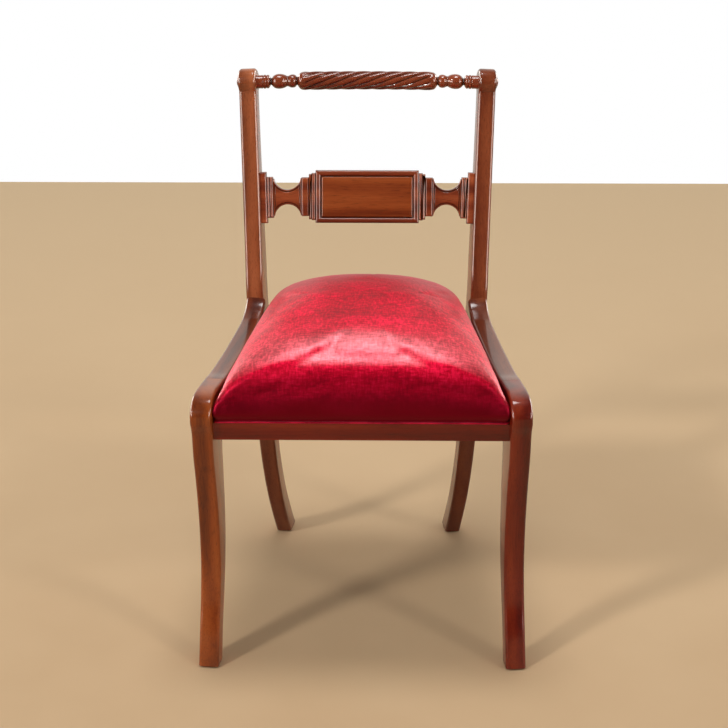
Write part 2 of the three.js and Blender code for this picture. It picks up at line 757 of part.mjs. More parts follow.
// A closed skin over rings of points, with a middle point on each end
function ringSolid(rings, firstEnd, lastEnd) {
  const count = rings[0].length;
  const points = [...rings.flat(), firstEnd, lastEnd];
  const index = [];
  for (let j = 0; j + 1 < rings.length; j += 1) {
    for (let i = 0; i < count; i += 1) {
      const next = (i + 1) % count;
      const [a, b, c, d] = [j * count + i, j * count + next, (j + 1) * count + next, (j + 1) * count + i];
      index.push(a, b, c, a, c, d);
    }
  }
  const first = rings.length * count;
  const top = (rings.length - 1) * count;
  for (let i = 0; i < count; i += 1) {
    const next = (i + 1) % count;
    index.push(first, next, i, first + 1, top + i, top + next);
  }
  const geometry = new THREE.BufferGeometry();
  geometry.setAttribute('position', new THREE.Float32BufferAttribute(points.flat(), 3));
  geometry.setIndex(index);
  return geometry;
}

// One turned end, from inside the twist to inside the upright's head
function crestEnd() {
  const turned = [
    [shoulderShares, crestRadius], [beadNeckShares, beadNeck], [beadShares, beadRadius],
    [vaseNeckShares, vaseNeck], [vaseShares, vaseRadius], [collarNeckShares, collarNeck],
    [collarShares, collarRadius],
  ].flatMap(([shares, radius]) => shares.map(([place, share]) => (
    new THREE.Vector2(radius * share, twistHalfLength + place * crestEndLength)
  )));
  const outer = crestHalfSpan + collarRadius;
  const profile = [
    new THREE.Vector2(0, turned[0].y), ...turned,
    new THREE.Vector2(collarRadius, outer), new THREE.Vector2(0, outer),
  ];
  return new THREE.LatheGeometry(profile, latheSegments).rotateZ(-Math.PI / 2);
}

function crestTenon(clearance) {
  const start = crestHalfSpan - collarRadius / 2;
  const end = crestHalfSpan + crestTenonLength + clearance;
  const radius = crestTenonRadius + clearance;
  return onCrest(new THREE.CylinderGeometry(radius, radius, end - start, latheSegments)
    .rotateZ(Math.PI / 2).translate((start + end) / 2, 0, 0));
}

function crestRail() {
  const end = onCrest(crestEnd());
  const slab = slabOutside(uprightPlane, uprightThickness, fit);
  const bar = joined(onCrest(twistBar()), end, mirroredSolid(end));
  const tenon = crestTenon(0);
  return joined(cutBy(bar, slab, mirroredSolid(slab)), tenon, mirroredSolid(tenon));
}

// Turned buttons on the outer faces of the heads
function buttonShape(clearance) {
  const stub = buttonStubRadius + clearance;
  const profile = [
    [0, -buttonStubLength - clearance],
    [stub, -buttonStubLength - clearance],
    [stub, clearance],
    [crestButtonRadius, clearance],
    ...crestButtonShares.map(([radius, height]) => [radius * crestButtonRadius, height * crestButtonHeight]),
    [0, crestButtonHeight],
  ].map(([r, z]) => new THREE.Vector2(r, z));
  return new THREE.LatheGeometry(profile, latheSegments).rotateZ(-Math.PI / 2);
}
const buttonSocket = solidOf(buttonShape(fit).translate(...headCentre.toArray()).applyMatrix4(uprightPlane));
const crestButton = buttonShape(0).translate(...headCentre.toArray()).applyMatrix4(uprightPlane);

// The seat's plan outline, drawn at an inset
function seatOutline(inset) {
  const front = seatFront + inset;
  const back = seatBack - inset;
  const halfFront = seatHalfFront - inset;
  const halfBack = seatHalfBack - inset;
  const lean = (halfFront - halfBack) / (back - front);
  const frontCorner = Math.max(seatFrontCorner - inset, edgeRadius);
  const backCorner = Math.max(seatBackCorner - inset, edgeRadius);
  const halfAt = (y) => halfFront - (y - front) * lean;
  return new THREE.Shape()
    .moveTo(-halfFront + frontCorner, front)
    .lineTo(halfFront - frontCorner, front)
    .quadraticCurveTo(halfFront, front, halfAt(front + frontCorner), front + frontCorner)
    .lineTo(halfAt(back - backCorner), back - backCorner)
    .quadraticCurveTo(halfBack, back, halfBack - backCorner, back)
    .lineTo(-halfBack + backCorner, back)
    .quadraticCurveTo(-halfBack, back, -halfAt(back - backCorner), back - backCorner)
    .lineTo(-halfAt(front + frontCorner), front + frontCorner)
    .quadraticCurveTo(-halfFront, front, -halfFront + frontCorner, front);
}

const outlinePoints = (shape) => shape.curves.flatMap(
  (curve) => curve.getPoints(curve.isLineCurve ? seatEdgeSteps : seatCornerSteps).slice(0, -1),
);

// The crowned cushion form, inset from the cover's outside, standing on a given height
function cushionForm(inset, bottom) {
  const rim = outlinePoints(seatOutline(inset));
  const base = outlinePoints(seatOutline(inset + drawIn));
  const halfDepth = (seatBack - seatFront) / 2 - inset;
  const wallTop = seatLedge + sideWall - inset;
  const ringAt = (share) => rim.map((point) => {
    const across = point.x / (seatHalfAt(point.y) - inset);
    const along = (point.y - seatMiddleY) / halfDepth;
    const reach = share / Math.max(Math.abs(across), Math.abs(along));
    const fallX = 1 - Math.min(1, Math.abs(across * reach)) ** crownAcrossPower;
    const fallY = 1 - Math.min(1, Math.abs(along * reach)) ** crownAlongPower;
    const height = crownHeight * fallX ** (1 / crownAcrossPower) * fallY ** (1 / crownAlongPower);
    return [point.x * share, seatMiddleY + (point.y - seatMiddleY) * share, wallTop + height];
  });
  const shares = Array.from({ length: domeRings }, (_, j) => Math.cos((j / domeRings) * Math.PI / 2));
  const rings = [base.map((point) => [point.x, point.y, bottom]), ...shares.map(ringAt)];
  return ringSolid(rings, [0, seatMiddleY, bottom], [0, seatMiddleY, wallTop + crownHeight]);
}

function seatPlate(inset, bottom, thickness) {
  const plate = new THREE.Shape(outlinePoints(seatOutline(inset)));
  const geometry = new THREE.ExtrudeGeometry(plate, { depth: thickness, bevelEnabled: false });
  return geometry.translate(0, 0, bottom);
}

const hemBottom = seatLedge + fit;
const frameBottom = hemBottom + coverThickness + fit;
const frameTop = frameBottom + seatFrameThickness;
const lowerWeb = frameTop + fit;
const upperWeb = lowerWeb + webThickness + fit;
const hessianBottom = upperWeb + webThickness + fit;
const padBottom = hessianBottom + hessianThickness + fit;
const insideCover = solidOf(cushionForm(coverThickness + fit, frameBottom));

function velvetCover() {
  const outside = solidOf(cushionForm(0, hemBottom));
  const inside = solidOf(cushionForm(coverThickness, hemBottom + coverThickness));
  const opening = seatPlate(drawIn + hemWidth, hemBottom - overrun, overrun + coverThickness + fit);
  return cutBy(outside, inside, solidOf(opening), ...allHoles);
}

function seatPad() {
  const above = solidOf(boxBetween(
    [-seatWidthFront, -overrun, padBottom],
    [seatWidthFront, seatRun + 2 * overrun, 2 * seatLedge],
  ));
  return insideCover.intersect(above);
}

// Seat frame: the side members are halved over the front and rear ones
function seatFrameMembers() {
  const ring = solidOf(seatPlate(seatFrameInset + drawIn, frameBottom, seatFrameThickness));
  const middle = solidOf(seatPlate(seatFrameInset + drawIn + seatFrameMember, frameBottom - fit, overrun));
  const whole = cutBy(ring, middle, ...allHoles).intersect(insideCover);
  const frontLine = seatFront + seatFrameInset + drawIn + seatFrameMember;
  const backLine = seatBack - seatFrameInset - drawIn - seatFrameMember;
  const halfHeight = frameBottom + seatFrameThickness / 2;
  const sideLine = (y) => innerHalfWidth(y) - seatFrameInset - drawIn - seatFrameMember;
  const sideZone = (clearance) => {
    const low = -overrun;
    const high = seatBack + overrun;
    const zone = [
      new THREE.Vector2(sideLine(low) - clearance, low),
      new THREE.Vector2(seatWidthFront, low),
      new THREE.Vector2(seatWidthFront, high),
      new THREE.Vector2(sideLine(high) - clearance, high),
    ];
    return solidOf(new THREE.ExtrudeGeometry(new THREE.Shape(zone), { depth: overrun, bevelEnabled: false })
      .translate(0, 0, halfHeight - clearance));
  };
  const between = solidOf(boxBetween(
    [0, frontLine + fit, 0],
    [seatWidthFront, backLine - fit, 2 * seatLedge],
  ));
  const side = whole.intersect(joined(sideZone(0), between));
  const lap = sideZone(fit);
  const cross = cutBy(whole, lap, mirroredSolid(lap));
  const front = cross.intersect(solidOf(boxBetween(
    [-seatWidthFront, -overrun, 0],
    [seatWidthFront, frontLine, 2 * seatLedge],
  )));
  const rear = cross.intersect(solidOf(boxBetween(
    [-seatWidthFront, backLine, 0],
    [seatWidthFront, 2 * seatWidthFront, 2 * seatLedge],
  )));
  return { side, front, rear };
}

// Webbing straps laid across the seat frame, the crosswise ones on top
function webStraps() {
  const straps = [];
  const lapLine = seatFrameInset + drawIn + seatFrameMember - webLap;
  const front = seatFront + lapLine;
  const back = seatBack - lapLine;
  const span = 2 * (innerHalfWidth(back) - seatFrameMember);
  for (let i = 0; i < webLengthwise; i += 1) {
    const x = (span / webLengthwise) * (i - (webLengthwise - 1) / 2);
    straps.push({
      name: `web_long_${i + 1}`,
      low: [x - webWidth / 2, front, lowerWeb],
      high: [x + webWidth / 2, back, lowerWeb + webThickness],
    });
  }
  for (let i = 0; i < webCrosswise; i += 1) {
    const y = (front + back) / 2 + ((back - front) / webCrosswise) * (i - (webCrosswise - 1) / 2);
    const half = innerHalfWidth(y + webWidth / 2) - lapLine;
    straps.push({
      name: `web_cross_${i + 1}`,
      low: [-half, y - webWidth / 2, upperWeb],
      high: [half, y + webWidth / 2, upperWeb + webThickness],
    });
  }
  return straps;
}

// Finishes
const finish = (color, roughness, metalness = 0) => () => new THREE.MeshStandardMaterial({
  color, roughness, metalness,
});
const mahogany = finish(0x843a1c, 0.28);
const darkMahogany = finish(0x6b2a14, 0.3);
const panelWood = finish(0x9a5226, 0.25);
const velvet = finish(0xb0122e, 0.7);
const beech = finish(0xc9a06c, 0.7);
const jute = finish(0xa88a5c, 0.95);
const foam = finish(0xd9cfae, 0.9);
const cambric = finish(0x1c1a1a, 0.95);
const steel = finish(0x8d8f92, 0.4, 0.9);
const nylon = finish(0x2a2422, 0.5);

const chair = new THREE.Group();
const place = (name, geometry, material) => {
  const mesh = new THREE.Mesh(geometry, material());
  mesh.name = name;
  chair.add(mesh);
  return mesh;
};
const placePair = (name, geometry, material) => {
  place(`${name}_left`, geometry, material);
  place(`${name}_right`, mirrored(geometry), material);
};

// Frame
const frontLegBlank = cutBy(sideSolid, sideStretch(kneeRun, 2 * seatRun), belowFeet);
const frontLeg = cutBy(
  frontLegBlank, kneeTenon(fit), frontTenon(fit), pinHole(glidePlaces.front), ...holesLeft,
);
const railStretch = sideStretch(kneeRun + fit, seatRun + rearFootDepth / 2);
const railBlank = cutBy(sideSolid.intersect(railStretch), uprightKnife);
const sideRail = cutBy(joined(railBlank, kneeTenon(0), backTenon(0)), ...holesLeft);
const upright = cutBy(
  uprightBlank, belowFeet, backTenon(fit), rearTenon(fit), armTenon(fit), crestTenon(fit),
  buttonSocket, pinHole(glidePlaces.rear), ...holesLeft,
);
placePair('front_leg', geometryOf(frontLeg), mahogany);
placePair('side_rail', geometryOf(sideRail), mahogany);
placePair('back_upright', geometryOf(upright), mahogany);
place('front_rail', geometryOf(cutBy(frontRail, ...allHoles)), darkMahogany);
place('rear_rail', geometryOf(cutBy(rearRail, ...allHoles)), darkMahogany);

// Back
place('crest_rail', geometryOf(crestRail()), mahogany);
placePair('crest_button', weld(crestButton), mahogany);
placePair('splat_arm', geometryOf(splatArm()), mahogany);
place('splat_tablet', geometryOf(splatTablet()), darkMahogany);
place('splat_panel', weld(splatPanel()), panelWood);

// Corner blocks and screws
for (const corner of corners) {
  const bored = cutBy(corner.block, ...corner.screws.map(hole));
  placePair(`corner_block_${corner.name}`, geometryOf(bored), beech);
}
for (const screw of screwsLeft) {
  const shape = weld(screwShape(screw.length, 0, 0));
  placePair(screw.name, aimed(shape, screw.origin, screw.direction), steel);
}

// Glides
for (const [name, [x, y]] of Object.entries(glidePlaces)) {
  for (const [side, sign] of [['left', 1], ['right', -1]]) {
    place(`glide_${name}_${side}`, weld(glideShape(0)), nylon).position.set(sign * x, y, 0);
  }
}

// Slip seat
const seatFrame = seatFrameMembers();
placePair('seat_frame_side', geometryOf(seatFrame.side), beech);
place('seat_frame_front', geometryOf(seatFrame.front), beech);
place('seat_frame_rear', geometryOf(seatFrame.rear), beech);
for (const { name, low, high } of webStraps()) place(name, boxBetween(low, high), jute);
const hessianSheet = solidOf(seatPlate(seatFrameInset + drawIn, hessianBottom, hessianThickness));
place('hessian', geometryOf(hessianSheet.intersect(insideCover)), jute);
place('seat_pad', geometryOf(seatPad()), foam);
place('velvet_cover', geometryOf(velvetCover()), velvet);
const dustSheet = solidOf(seatPlate(
  drawIn + hemWidth + fit, frameBottom - fit - dustCoverThickness, dustCoverThickness,
));
place('dust_cover', geometryOf(cutBy(dustSheet, ...allHoles)), cambric);

// The origin is on the floor, under the middle of the chair
const bounds = new THREE.Box3().setFromObject(chair);
chair.position.y = -(bounds.min.y + bounds.max.y) / 2;

export default chair;
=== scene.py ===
# Sabre-leg dining chair: its finer pieces, finishes and velvet seat, with the floor, light and camera.
# The chair's sizes are in millimetres, and a piece comes to the model's metres when it is placed.
# Finishes and the room are in metres.
import math

import bmesh
import bpy
from mathutils import Matrix, Vector
from mathutils.bvhtree import BVHTree


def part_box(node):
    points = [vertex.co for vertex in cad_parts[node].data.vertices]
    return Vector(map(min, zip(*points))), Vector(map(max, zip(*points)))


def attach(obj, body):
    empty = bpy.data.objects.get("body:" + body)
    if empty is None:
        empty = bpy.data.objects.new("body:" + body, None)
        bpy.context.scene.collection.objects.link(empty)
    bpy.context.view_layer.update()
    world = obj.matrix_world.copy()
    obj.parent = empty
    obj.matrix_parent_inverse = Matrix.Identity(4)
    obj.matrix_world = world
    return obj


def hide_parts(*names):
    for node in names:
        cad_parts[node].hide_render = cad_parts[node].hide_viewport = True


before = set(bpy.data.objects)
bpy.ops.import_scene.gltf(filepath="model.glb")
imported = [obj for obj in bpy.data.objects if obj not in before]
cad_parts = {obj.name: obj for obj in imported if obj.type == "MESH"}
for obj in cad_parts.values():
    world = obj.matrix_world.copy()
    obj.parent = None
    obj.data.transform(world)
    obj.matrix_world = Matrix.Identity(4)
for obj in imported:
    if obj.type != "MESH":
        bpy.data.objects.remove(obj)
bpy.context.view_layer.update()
scene = bpy.context.scene
MM = 0.001


# Node trees
class Tree:
    """Short ways to add nodes to a tree."""

    def __init__(self, tree):
        self.nodes = tree.nodes
        self.links = tree.links

    def add(self, kind, **settings):
        node = self.nodes.new(kind)
        for key, value in settings.items():
            if key in node.inputs:
                node.inputs[key].default_value = value
            else:
                setattr(node, key, value)
        return node

    def link(self, a, b):
        self.links.new(a, b)

    def feed(self, socket, value):
        """Gives a socket a written value or another node's output."""
        if isinstance(value, (int, float, tuple)):
            socket.default_value = value
        else:
            self.link(value, socket)

    def math(self, operation, *values):
        node = self.add("ShaderNodeMath", operation=operation)
        for socket, value in zip(node.inputs, values):
            self.feed(socket, value)
        return node.outputs[0]

    def product(self, a, b):
        return self.math("MULTIPLY", a, b)

    def weighted(self, *terms):
        """The sum of some values, each times its own weight."""
        total = None
        for value, weight in terms:
            part = self.product(value, weight)
            total = part if total is None else self.math("ADD", total, part)
        return total

    def mix(self, factor, a, b):
        node = self.add("ShaderNodeMix", data_type="RGBA")
        # the sockets of the factor and of the two colours
        for i, value in ((0, factor), (6, a), (7, b)):
            self.feed(node.inputs[i], value)
        return node.outputs[2]

    def ramp(self, value, stops):
        """Written colours along a value."""
        node = self.nodes.new("ShaderNodeValToRGB")
        ramp = node.color_ramp
        while len(ramp.elements) < len(stops):
            ramp.elements.new(0.5)
        for element, (place, rgb) in zip(ramp.elements, stops):
            element.position = place
            element.color = shade(rgb)
        self.link(value, node.inputs[0])
        return node.outputs[0]

    def span(self, value, low, high, out_low, out_high):
        """A value brought from one range to another and clamped."""
        node = self.nodes.new("ShaderNodeMapRange")
        keys = ("From Min", "From Max", "To Min", "To Max")
        for key, number in zip(keys, (low, high, out_low, out_high)):
            node.inputs[key].default_value = number
        self.link(value, node.inputs["Value"])
        return node.outputs[0]

    def parts(self, vector):
        """The X, Y and Z of a vector, by name."""
        node = self.nodes.new("ShaderNodeSeparateXYZ")
        self.link(vector, node.inputs[0])
        return node.outputs

    def mapped(self, vector, **settings):
        node = self.add("ShaderNodeMapping", **settings)
        self.link(vector, node.inputs["Vector"])
        return node.outputs[0]

    def noise(self, place, scale, detail=4.0, roughness=0.55, distortion=0.0):
        node = self.add(
            "ShaderNodeTexNoise", Scale=scale, Detail=detail, Roughness=roughness, Distortion=distortion
        )
        self.link(place, node.inputs["Vector"])
        return node.outputs["Fac"]

    def bump(self, height, strength, distance, normal=None):
        node = self.add("ShaderNodeBump", Strength=strength, Distance=distance)
        self.link(height, node.inputs["Height"])
        if normal is not None:
            self.link(normal, node.inputs["Normal"])
        return node.outputs["Normal"]


class Finish(Tree):
    """A material with one shader, and the place on the object that its textures read."""

    def __init__(self, name):
        self.material = bpy.data.materials.new(name)
        self.material.use_nodes = True
        super().__init__(self.material.node_tree)
        self.shader = self.nodes["Principled BSDF"]
        self.place = self.nodes.new("ShaderNodeTexCoord").outputs["Object"]

    def drive(self, key, value):
        self.link(value, self.shader.inputs[key])

    def fix(self, values):
        for key, value in values.items():
            self.shader.inputs[key].default_value = value


def shade(rgb):
    """A written sRGB colour, as the linear one that a shader takes."""
    def linear(c):
        c /= 255
        return c / 12.92 if c <= 0.04045 else ((c + 0.055) / 1.055) ** 2.4
    return (*[linear(c) for c in rgb], 1.0)


def toned(rgb, factor):
    """A written colour made darker or lighter, for a shader."""
    return shade([min(255, c * factor) for c in rgb])


# Polished mahogany: grain along one direction, dark pores, soft colour bands and a lacquer coat
# Each layer of the grain: its cells per metre across the grain, and the share of them along it
BROAD, BANDS, FIBRE, PORES, WAVES = (22, 0.12), (9.0, 0.09), (420, 0.035), (1100, 0.05), (60, 0.4)
# Painted shade under the seat: its colour, and the heights in metres where it is full and where it ends
SHADE_TONE, SHADE_HEIGHTS = (72, 14, 4), (0.3, 0.45)
GROOVE_REACH, RUBBED_RADIUS, WAVE_DEPTH, FIBRE_DEPTH = 0.004, 0.0022, 0.0006, 0.0002
LACQUER_IOR = 1.5


def polished_wood(name, along, tones, start, figure=1.0, gloss=0.06, coat=0.75, shaded=0.0):
    """Wood of three tones, dark to light, with painted shade below the seat where asked."""
    t = Finish(name)
    turn = Vector((0, 0, 1)).rotation_difference(Vector(along).normalized()).inverted().to_euler()
    turned = t.mapped(t.place, Rotation=turn, Location=start)

    def layer(kind, *settings):
        cells, lengthwise_share = kind
        return t.noise(t.mapped(turned, Scale=(1, 1, lengthwise_share)), cells, *settings)

    broad = layer(BROAD, 3, 0.5, 0.4)
    bands = t.add("ShaderNodeTexWave", Scale=BANDS[0] * figure, Distortion=7.0, Detail=3.0)
    bands.inputs["Detail Scale"].default_value = 1.6
    bands.bands_direction = "X"
    t.link(t.mapped(turned, Scale=(1, 1, BANDS[1])), bands.inputs["Vector"])
    fibre = layer(FIBRE, 3, 0.6)
    pores = layer(PORES, 2, 0.5)
    dark, middle, light = tones
    grain = t.weighted((broad, 0.62), (bands.outputs["Fac"], 0.2 * figure), (fibre, 0.24))
    color = t.ramp(grain, [(0.28, dark), (0.5, middle), (0.74, light)])
    lines = t.span(pores, 0.58, 0.72, 0.0, 0.55)
    color = t.mix(lines, color, toned(dark, 0.42))
    # painted shade: darker low on the piece, under the seat
    if shaded:
        height = t.parts(t.place)["Z"]
        color = t.mix(t.span(height, *SHADE_HEIGHTS, shaded, 0.0), color, shade(SHADE_TONE))
    # painted shade that stays dark in the carved grooves and in inner corners
    groove_shade = t.add("ShaderNodeAmbientOcclusion", samples=6, only_local=True, Distance=GROOVE_REACH)
    corner_shade = t.span(groove_shade.outputs["AO"], 0.35, 0.85, 0.75, 0.0)
    carved_shade = t.add("ShaderNodeAttribute", attribute_name="stain_and_shade").outputs["Fac"]
    color = t.mix(t.math("MAXIMUM", corner_shade, carved_shade), color, toned(dark, 0.3))
    # edges rubbed a little lighter
    soft = t.add("ShaderNodeBevel", samples=4, Radius=RUBBED_RADIUS)
    geometry = t.nodes.new("ShaderNodeNewGeometry")
    facing = t.add("ShaderNodeVectorMath", operation="DOT_PRODUCT")
    t.link(soft.outputs[0], facing.inputs[0])
    t.link(geometry.outputs["True Normal"], facing.inputs[1])
    rubbed = t.product(t.span(facing.outputs["Value"], 0.985, 0.9, 0.0, 0.22), broad)
    t.drive("Base Color", t.mix(rubbed, color, toned(light, 1.25)))
    t.drive("Roughness", t.span(broad, 0.3, 0.7, 0.3, 0.42))
    t.fix({
        "Specular IOR Level": 0.12, "Coat Weight": coat, "Coat Roughness": gloss, "Coat IOR": LACQUER_IOR,
    })
    surface = t.math("SUBTRACT", t.product(fibre, 0.5), lines)
    normal = t.bump(layer(WAVES, 2, 0.5), 0.06, WAVE_DEPTH)
    t.drive("Normal", t.bump(surface, 0.12, FIBRE_DEPTH, normal))
    t.drive("Coat Normal", normal)
    return t.material


# Crimson velvet: short pile with brushed patches and crossed threads, with painted shade behind, on its
# upright faces and at its hem, and a painted highlight along its fold
PATCH_CELLS, THREAD_CELLS, PATCH_DEPTH, THREAD_DEPTH = 26, 340, 0.003, 0.0008
# Where its painted shade starts and stops, along Y to the rear and along Z at the hem, and where the
# painted highlight lies along Z at its fold
REAR_SHADE, HEM_SHADE, FOLD_HIGHLIGHT = (-0.05, 0.06), (0.405, 0.48), (0.3985, 0.4)
PILE_TONES = [(0.4, (128, 0, 16)), (0.5, (196, 2, 35)), (0.6, (248, 20, 68))]
REAR_SHADE_TONE, WALL_SHADE_TONE, HEM_SHADE_TONE, FOLD_HIGHLIGHT_TONE = (138, 0, 14), (48, 0, 4), (26, 0, 1), (214, 34, 66)


def velvet(name):
    t = Finish(name)
    at = t.parts(t.place)
    facing = t.parts(t.nodes.new("ShaderNodeNewGeometry").outputs["Normal"])

    def pile(stretch, *settings):
        return t.noise(t.mapped(t.place, Scale=stretch), *settings)

    patches = pile((0.5, 1, 1), PATCH_CELLS, 4, 0.62, 0.5)
    nap = pile((0.25, 1, 1), THREAD_CELLS, 3, 0.6)
    warp = pile((1, 0.25, 0.25), THREAD_CELLS, 3, 0.6)
    threads = t.weighted((nap, 0.5), (warp, 0.5))
    tone = t.weighted((patches, 0.3), (threads, 0.7))
    color = t.ramp(tone, PILE_TONES)
    # painted shade: darker towards the rear, on the upright faces and low on the wall by the hem
    color = t.mix(t.span(at["Y"], *REAR_SHADE, 0.0, 0.75), color, shade(REAR_SHADE_TONE))
    color = t.mix(t.span(facing["Z"], 0.12, 0.7, 0.84, 0.0), color, shade(WALL_SHADE_TONE))
    color = t.mix(t.span(at["Z"], *HEM_SHADE, 0.97, 0.0), color, shade(HEM_SHADE_TONE))
    # painted highlight: a light line where the rolled fold at the hem catches the light
    fold = t.product(t.span(at["Z"], *FOLD_HIGHLIGHT, 1.0, 0.0), t.span(patches, 0.4, 0.56, 0.35, 1.0))
    t.drive("Base Color", t.mix(fold, color, shade(FOLD_HIGHLIGHT_TONE)))
    t.drive("Roughness", t.span(patches, 0.3, 0.7, 0.36, 0.44))
    t.fix({
        "IOR": 1.8, "Specular IOR Level": 1.0, "Specular Tint": shade((255, 44, 84)),
        "Sheen Weight": 0.2, "Sheen Roughness": 0.3, "Sheen Tint": shade((255, 24, 66)),
        "Coat Roughness": 0.42, "Coat IOR": 2.1,
    })
    # lustre where the pile lies upwards and forwards, less on the flat top, and broken by the threads
    rising = t.span(facing["Z"], 0.72, 0.87, 0.0, 1.0)
    flat = t.span(facing["Z"], 0.95, 0.995, 1.0, 0.12)
    brushed = t.product(t.span(threads, 0.4, 0.58, 0.6, 1.0), t.span(patches, 0.35, 0.6, 0.65, 1.0))
    forward = t.span(facing["Y"], -0.3, -0.05, 1.0, 0.2)
    t.drive("Coat Weight", t.product(t.product(rising, flat), t.product(brushed, forward)))
    normal = t.bump(threads, 0.7, THREAD_DEPTH, t.bump(patches, 0.35, PATCH_DEPTH))
    t.drive("Normal", normal)
    t.drive("Coat Normal", normal)
    return t.material


# Plain planed beech, for the hidden frame and the corner blocks
BEECH_TONES = [(0.3, (176, 132, 88)), (0.55, (205, 164, 116)), (0.75, (222, 186, 140))]
FLECK_TONE, FLECK_DEPTH = (150, 104, 66), 0.0004


def raw_wood(name, along):
    t = Finish(name)
    turn = Vector((0, 0, 1)).rotation_difference(Vector(along)).inverted().to_euler()
    turned = t.mapped(t.place, Rotation=turn, Scale=(1, 1, 0.08))
    grain = t.noise(turned, 90, 5, 0.6, 0.5)
    fleck = t.noise(turned, 700, 2, 0.5)
    color = t.ramp(grain, BEECH_TONES)
    t.drive("Base Color", t.mix(t.span(fleck, 0.6, 0.75, 0.0, 0.5), color, shade(FLECK_TONE)))
    t.fix({"Roughness": 0.72})
    t.drive("Normal", t.bump(fleck, 0.3, FLECK_DEPTH))
    return t.material


# Woven cloth: over and under threads in the seat's plane, with a wave texture's bands as the threads
BANDS_PER_METRE = 3.18


def woven(name, low, high, thread, depth):
    t = Finish(name)
    threads = []
    for direction in ("X", "Y"):
        wave = t.add("ShaderNodeTexWave", Scale=1 / thread / BANDS_PER_METRE, Distortion=0.6, Detail=1.0)
        wave.bands_direction = direction
        t.link(t.place, wave.inputs["Vector"])
        threads.append(wave.outputs["Fac"])
    weave = t.math("MAXIMUM", *threads)
    stray = t.noise(t.place, 240, 3, 0.6)
    value = t.weighted((weave, 0.7), (stray, 0.3))
    t.drive("Base Color", t.ramp(value, [(0.2, low), (0.85, high)]))
    t.fix({"Roughness": 0.9})
    t.drive("Normal", t.bump(value, 0.6, depth))
    return t.material


def plated_steel(name):
    t = Finish(name)
    stain_and_shade = t.noise(t.place, 300, 4, 0.6)
    t.drive("Base Color", t.ramp(stain_and_shade, [(0.3, (150, 150, 152)), (0.7, (196, 194, 186))]))
    t.fix({"Metallic": 1.0})
    t.drive("Roughness", t.span(stain_and_shade, 0.3, 0.7, 0.28, 0.45))
    t.drive("Normal", t.bump(stain_and_shade, 0.1, 0.0002))
    return t.material


def moulded_nylon(name):
    t = Finish(name)
    grain = t.noise(t.place, 900, 3, 0.6)
    scuff = t.noise(t.place, 120, 4, 0.7)
    t.drive("Base Color", t.ramp(scuff, [(0.35, (34, 29, 26)), (0.7, (66, 58, 52))]))
    t.drive("Roughness", t.span(scuff, 0.3, 0.7, 0.45, 0.65))
    t.drive("Normal", t.bump(grain, 0.4, 0.0003))
    return t.material


# The tones of each mahogany: dark, middle and light
LEG_RED = ((78, 28, 8), (136, 60, 16), (160, 80, 30))
# the legs' red painted darker, as painted shade, for the leg further from the brighter key lamp
LEG_RED_IN_SHADE = ((58, 8, 1), (98, 18, 2), (130, 40, 10))
SIDE_RAIL = ((62, 20, 8), (98, 40, 18), (128, 64, 34))
POST_WARM = ((86, 36, 17), (138, 71, 38), (170, 95, 56))
POST_TAWNY = ((70, 26, 11), (116, 52, 26), (150, 78, 43))
CREST = ((58, 15, 6), (106, 39, 17), (146, 68, 35))
DARK = ((72, 22, 9), (118, 48, 23), (154, 76, 42))
CARVED = ((76, 24, 10), (128, 54, 26), (168, 86, 47))
CROSS_RAIL = ((66, 8, 1), (102, 14, 1), (130, 32, 8))
PANEL = ((108, 42, 14), (144, 68, 27), (172, 92, 42))

ALONG, ACROSS = (0, 1, 0), (1, 0, 0)
LEG_GRAIN, POST_GRAIN = (0, -0.08, 1), (0, 0.1, 1)
SATIN, DULLED, SHADED = {"gloss": 0.11}, {"gloss": 0.13, "coat": 0.6}, {"shaded": 0.6}
# The grain's direction, the tones, where the figure starts, and what else differs
WOODS = {
    "leg_left": (LEG_GRAIN, LEG_RED_IN_SHADE, (0, 0, 0), SATIN),
    "leg_right": (LEG_GRAIN, LEG_RED, (0.3, 0, 0), SATIN),
    "rail_left": ((-0.12, 1, 0), SIDE_RAIL, (0, 0.2, 0), SATIN),
    "rail_right": ((0.12, 1, 0), SIDE_RAIL, (0, 0.5, 0), SATIN),
    "upright_left": (POST_GRAIN, POST_TAWNY, (0, 0, 0.4), SHADED),
    "upright_right": (POST_GRAIN, POST_WARM, (0.2, 0, 0.7), SHADED),
    "crest": (ACROSS, CREST, (0.1, 0, 0), {"gloss": 0.08, "coat": 1.0}),
    "button_left": (ACROSS, DARK, (0.1, 0.2, 0), {}),
    "button_right": (ACROSS, DARK, (0.4, 0.2, 0), {}),
    "arm_left": (ACROSS, CARVED, (0, 0, 0.2), DULLED),
    "arm_right": (ACROSS, CARVED, (0, 0, 0.9), DULLED),
    "tablet": (ACROSS, DARK, (0, 0.3, 0.2), DULLED),
    "panel": (ACROSS, PANEL, (0, 0.3, 0.5), {"figure": 0.9}),
    "front_rail": (ACROSS, CROSS_RAIL, (0, 0.1, 0), {}),
    "rear_rail": (ACROSS, CROSS_RAIL, (0, 0.6, 0), {}),
}
wood = {
    piece: polished_wood(f"wood_{piece}", along, tones, start, **rest)
    for piece, (along, tones, start, rest) in WOODS.items()
}
# What the names of the solids that aren't replaced start with, and their finish
FINISHES = [
    ("front_rail", wood["front_rail"]),
    ("rear_rail", wood["rear_rail"]),
    (("corner_block", "seat_frame_front", "seat_frame_rear"), raw_wood("beech_across", ACROSS)),
    ("seat_frame_side", raw_wood("beech_along", ALONG)),
    ("web", woven("jute_webbing", (120, 92, 54), (186, 156, 108), 0.0022, 0.0008)),
    ("hessian", woven("hessian_cloth", (138, 106, 66), (198, 168, 118), 0.0014, 0.0005)),
    ("dust_cover", woven("dust_cloth", (14, 13, 13), (40, 38, 38), 0.0007, 0.0002)),
    (("block_screw", "seat_screw"), plated_steel("zinc_steel")),
    ("glide", moulded_nylon("nylon_glide")),
]
for node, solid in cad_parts.items():
    for prefix, material in FINISHES:
        if node.startswith(prefix):
            for slot in solid.material_slots:
                slot.material = material


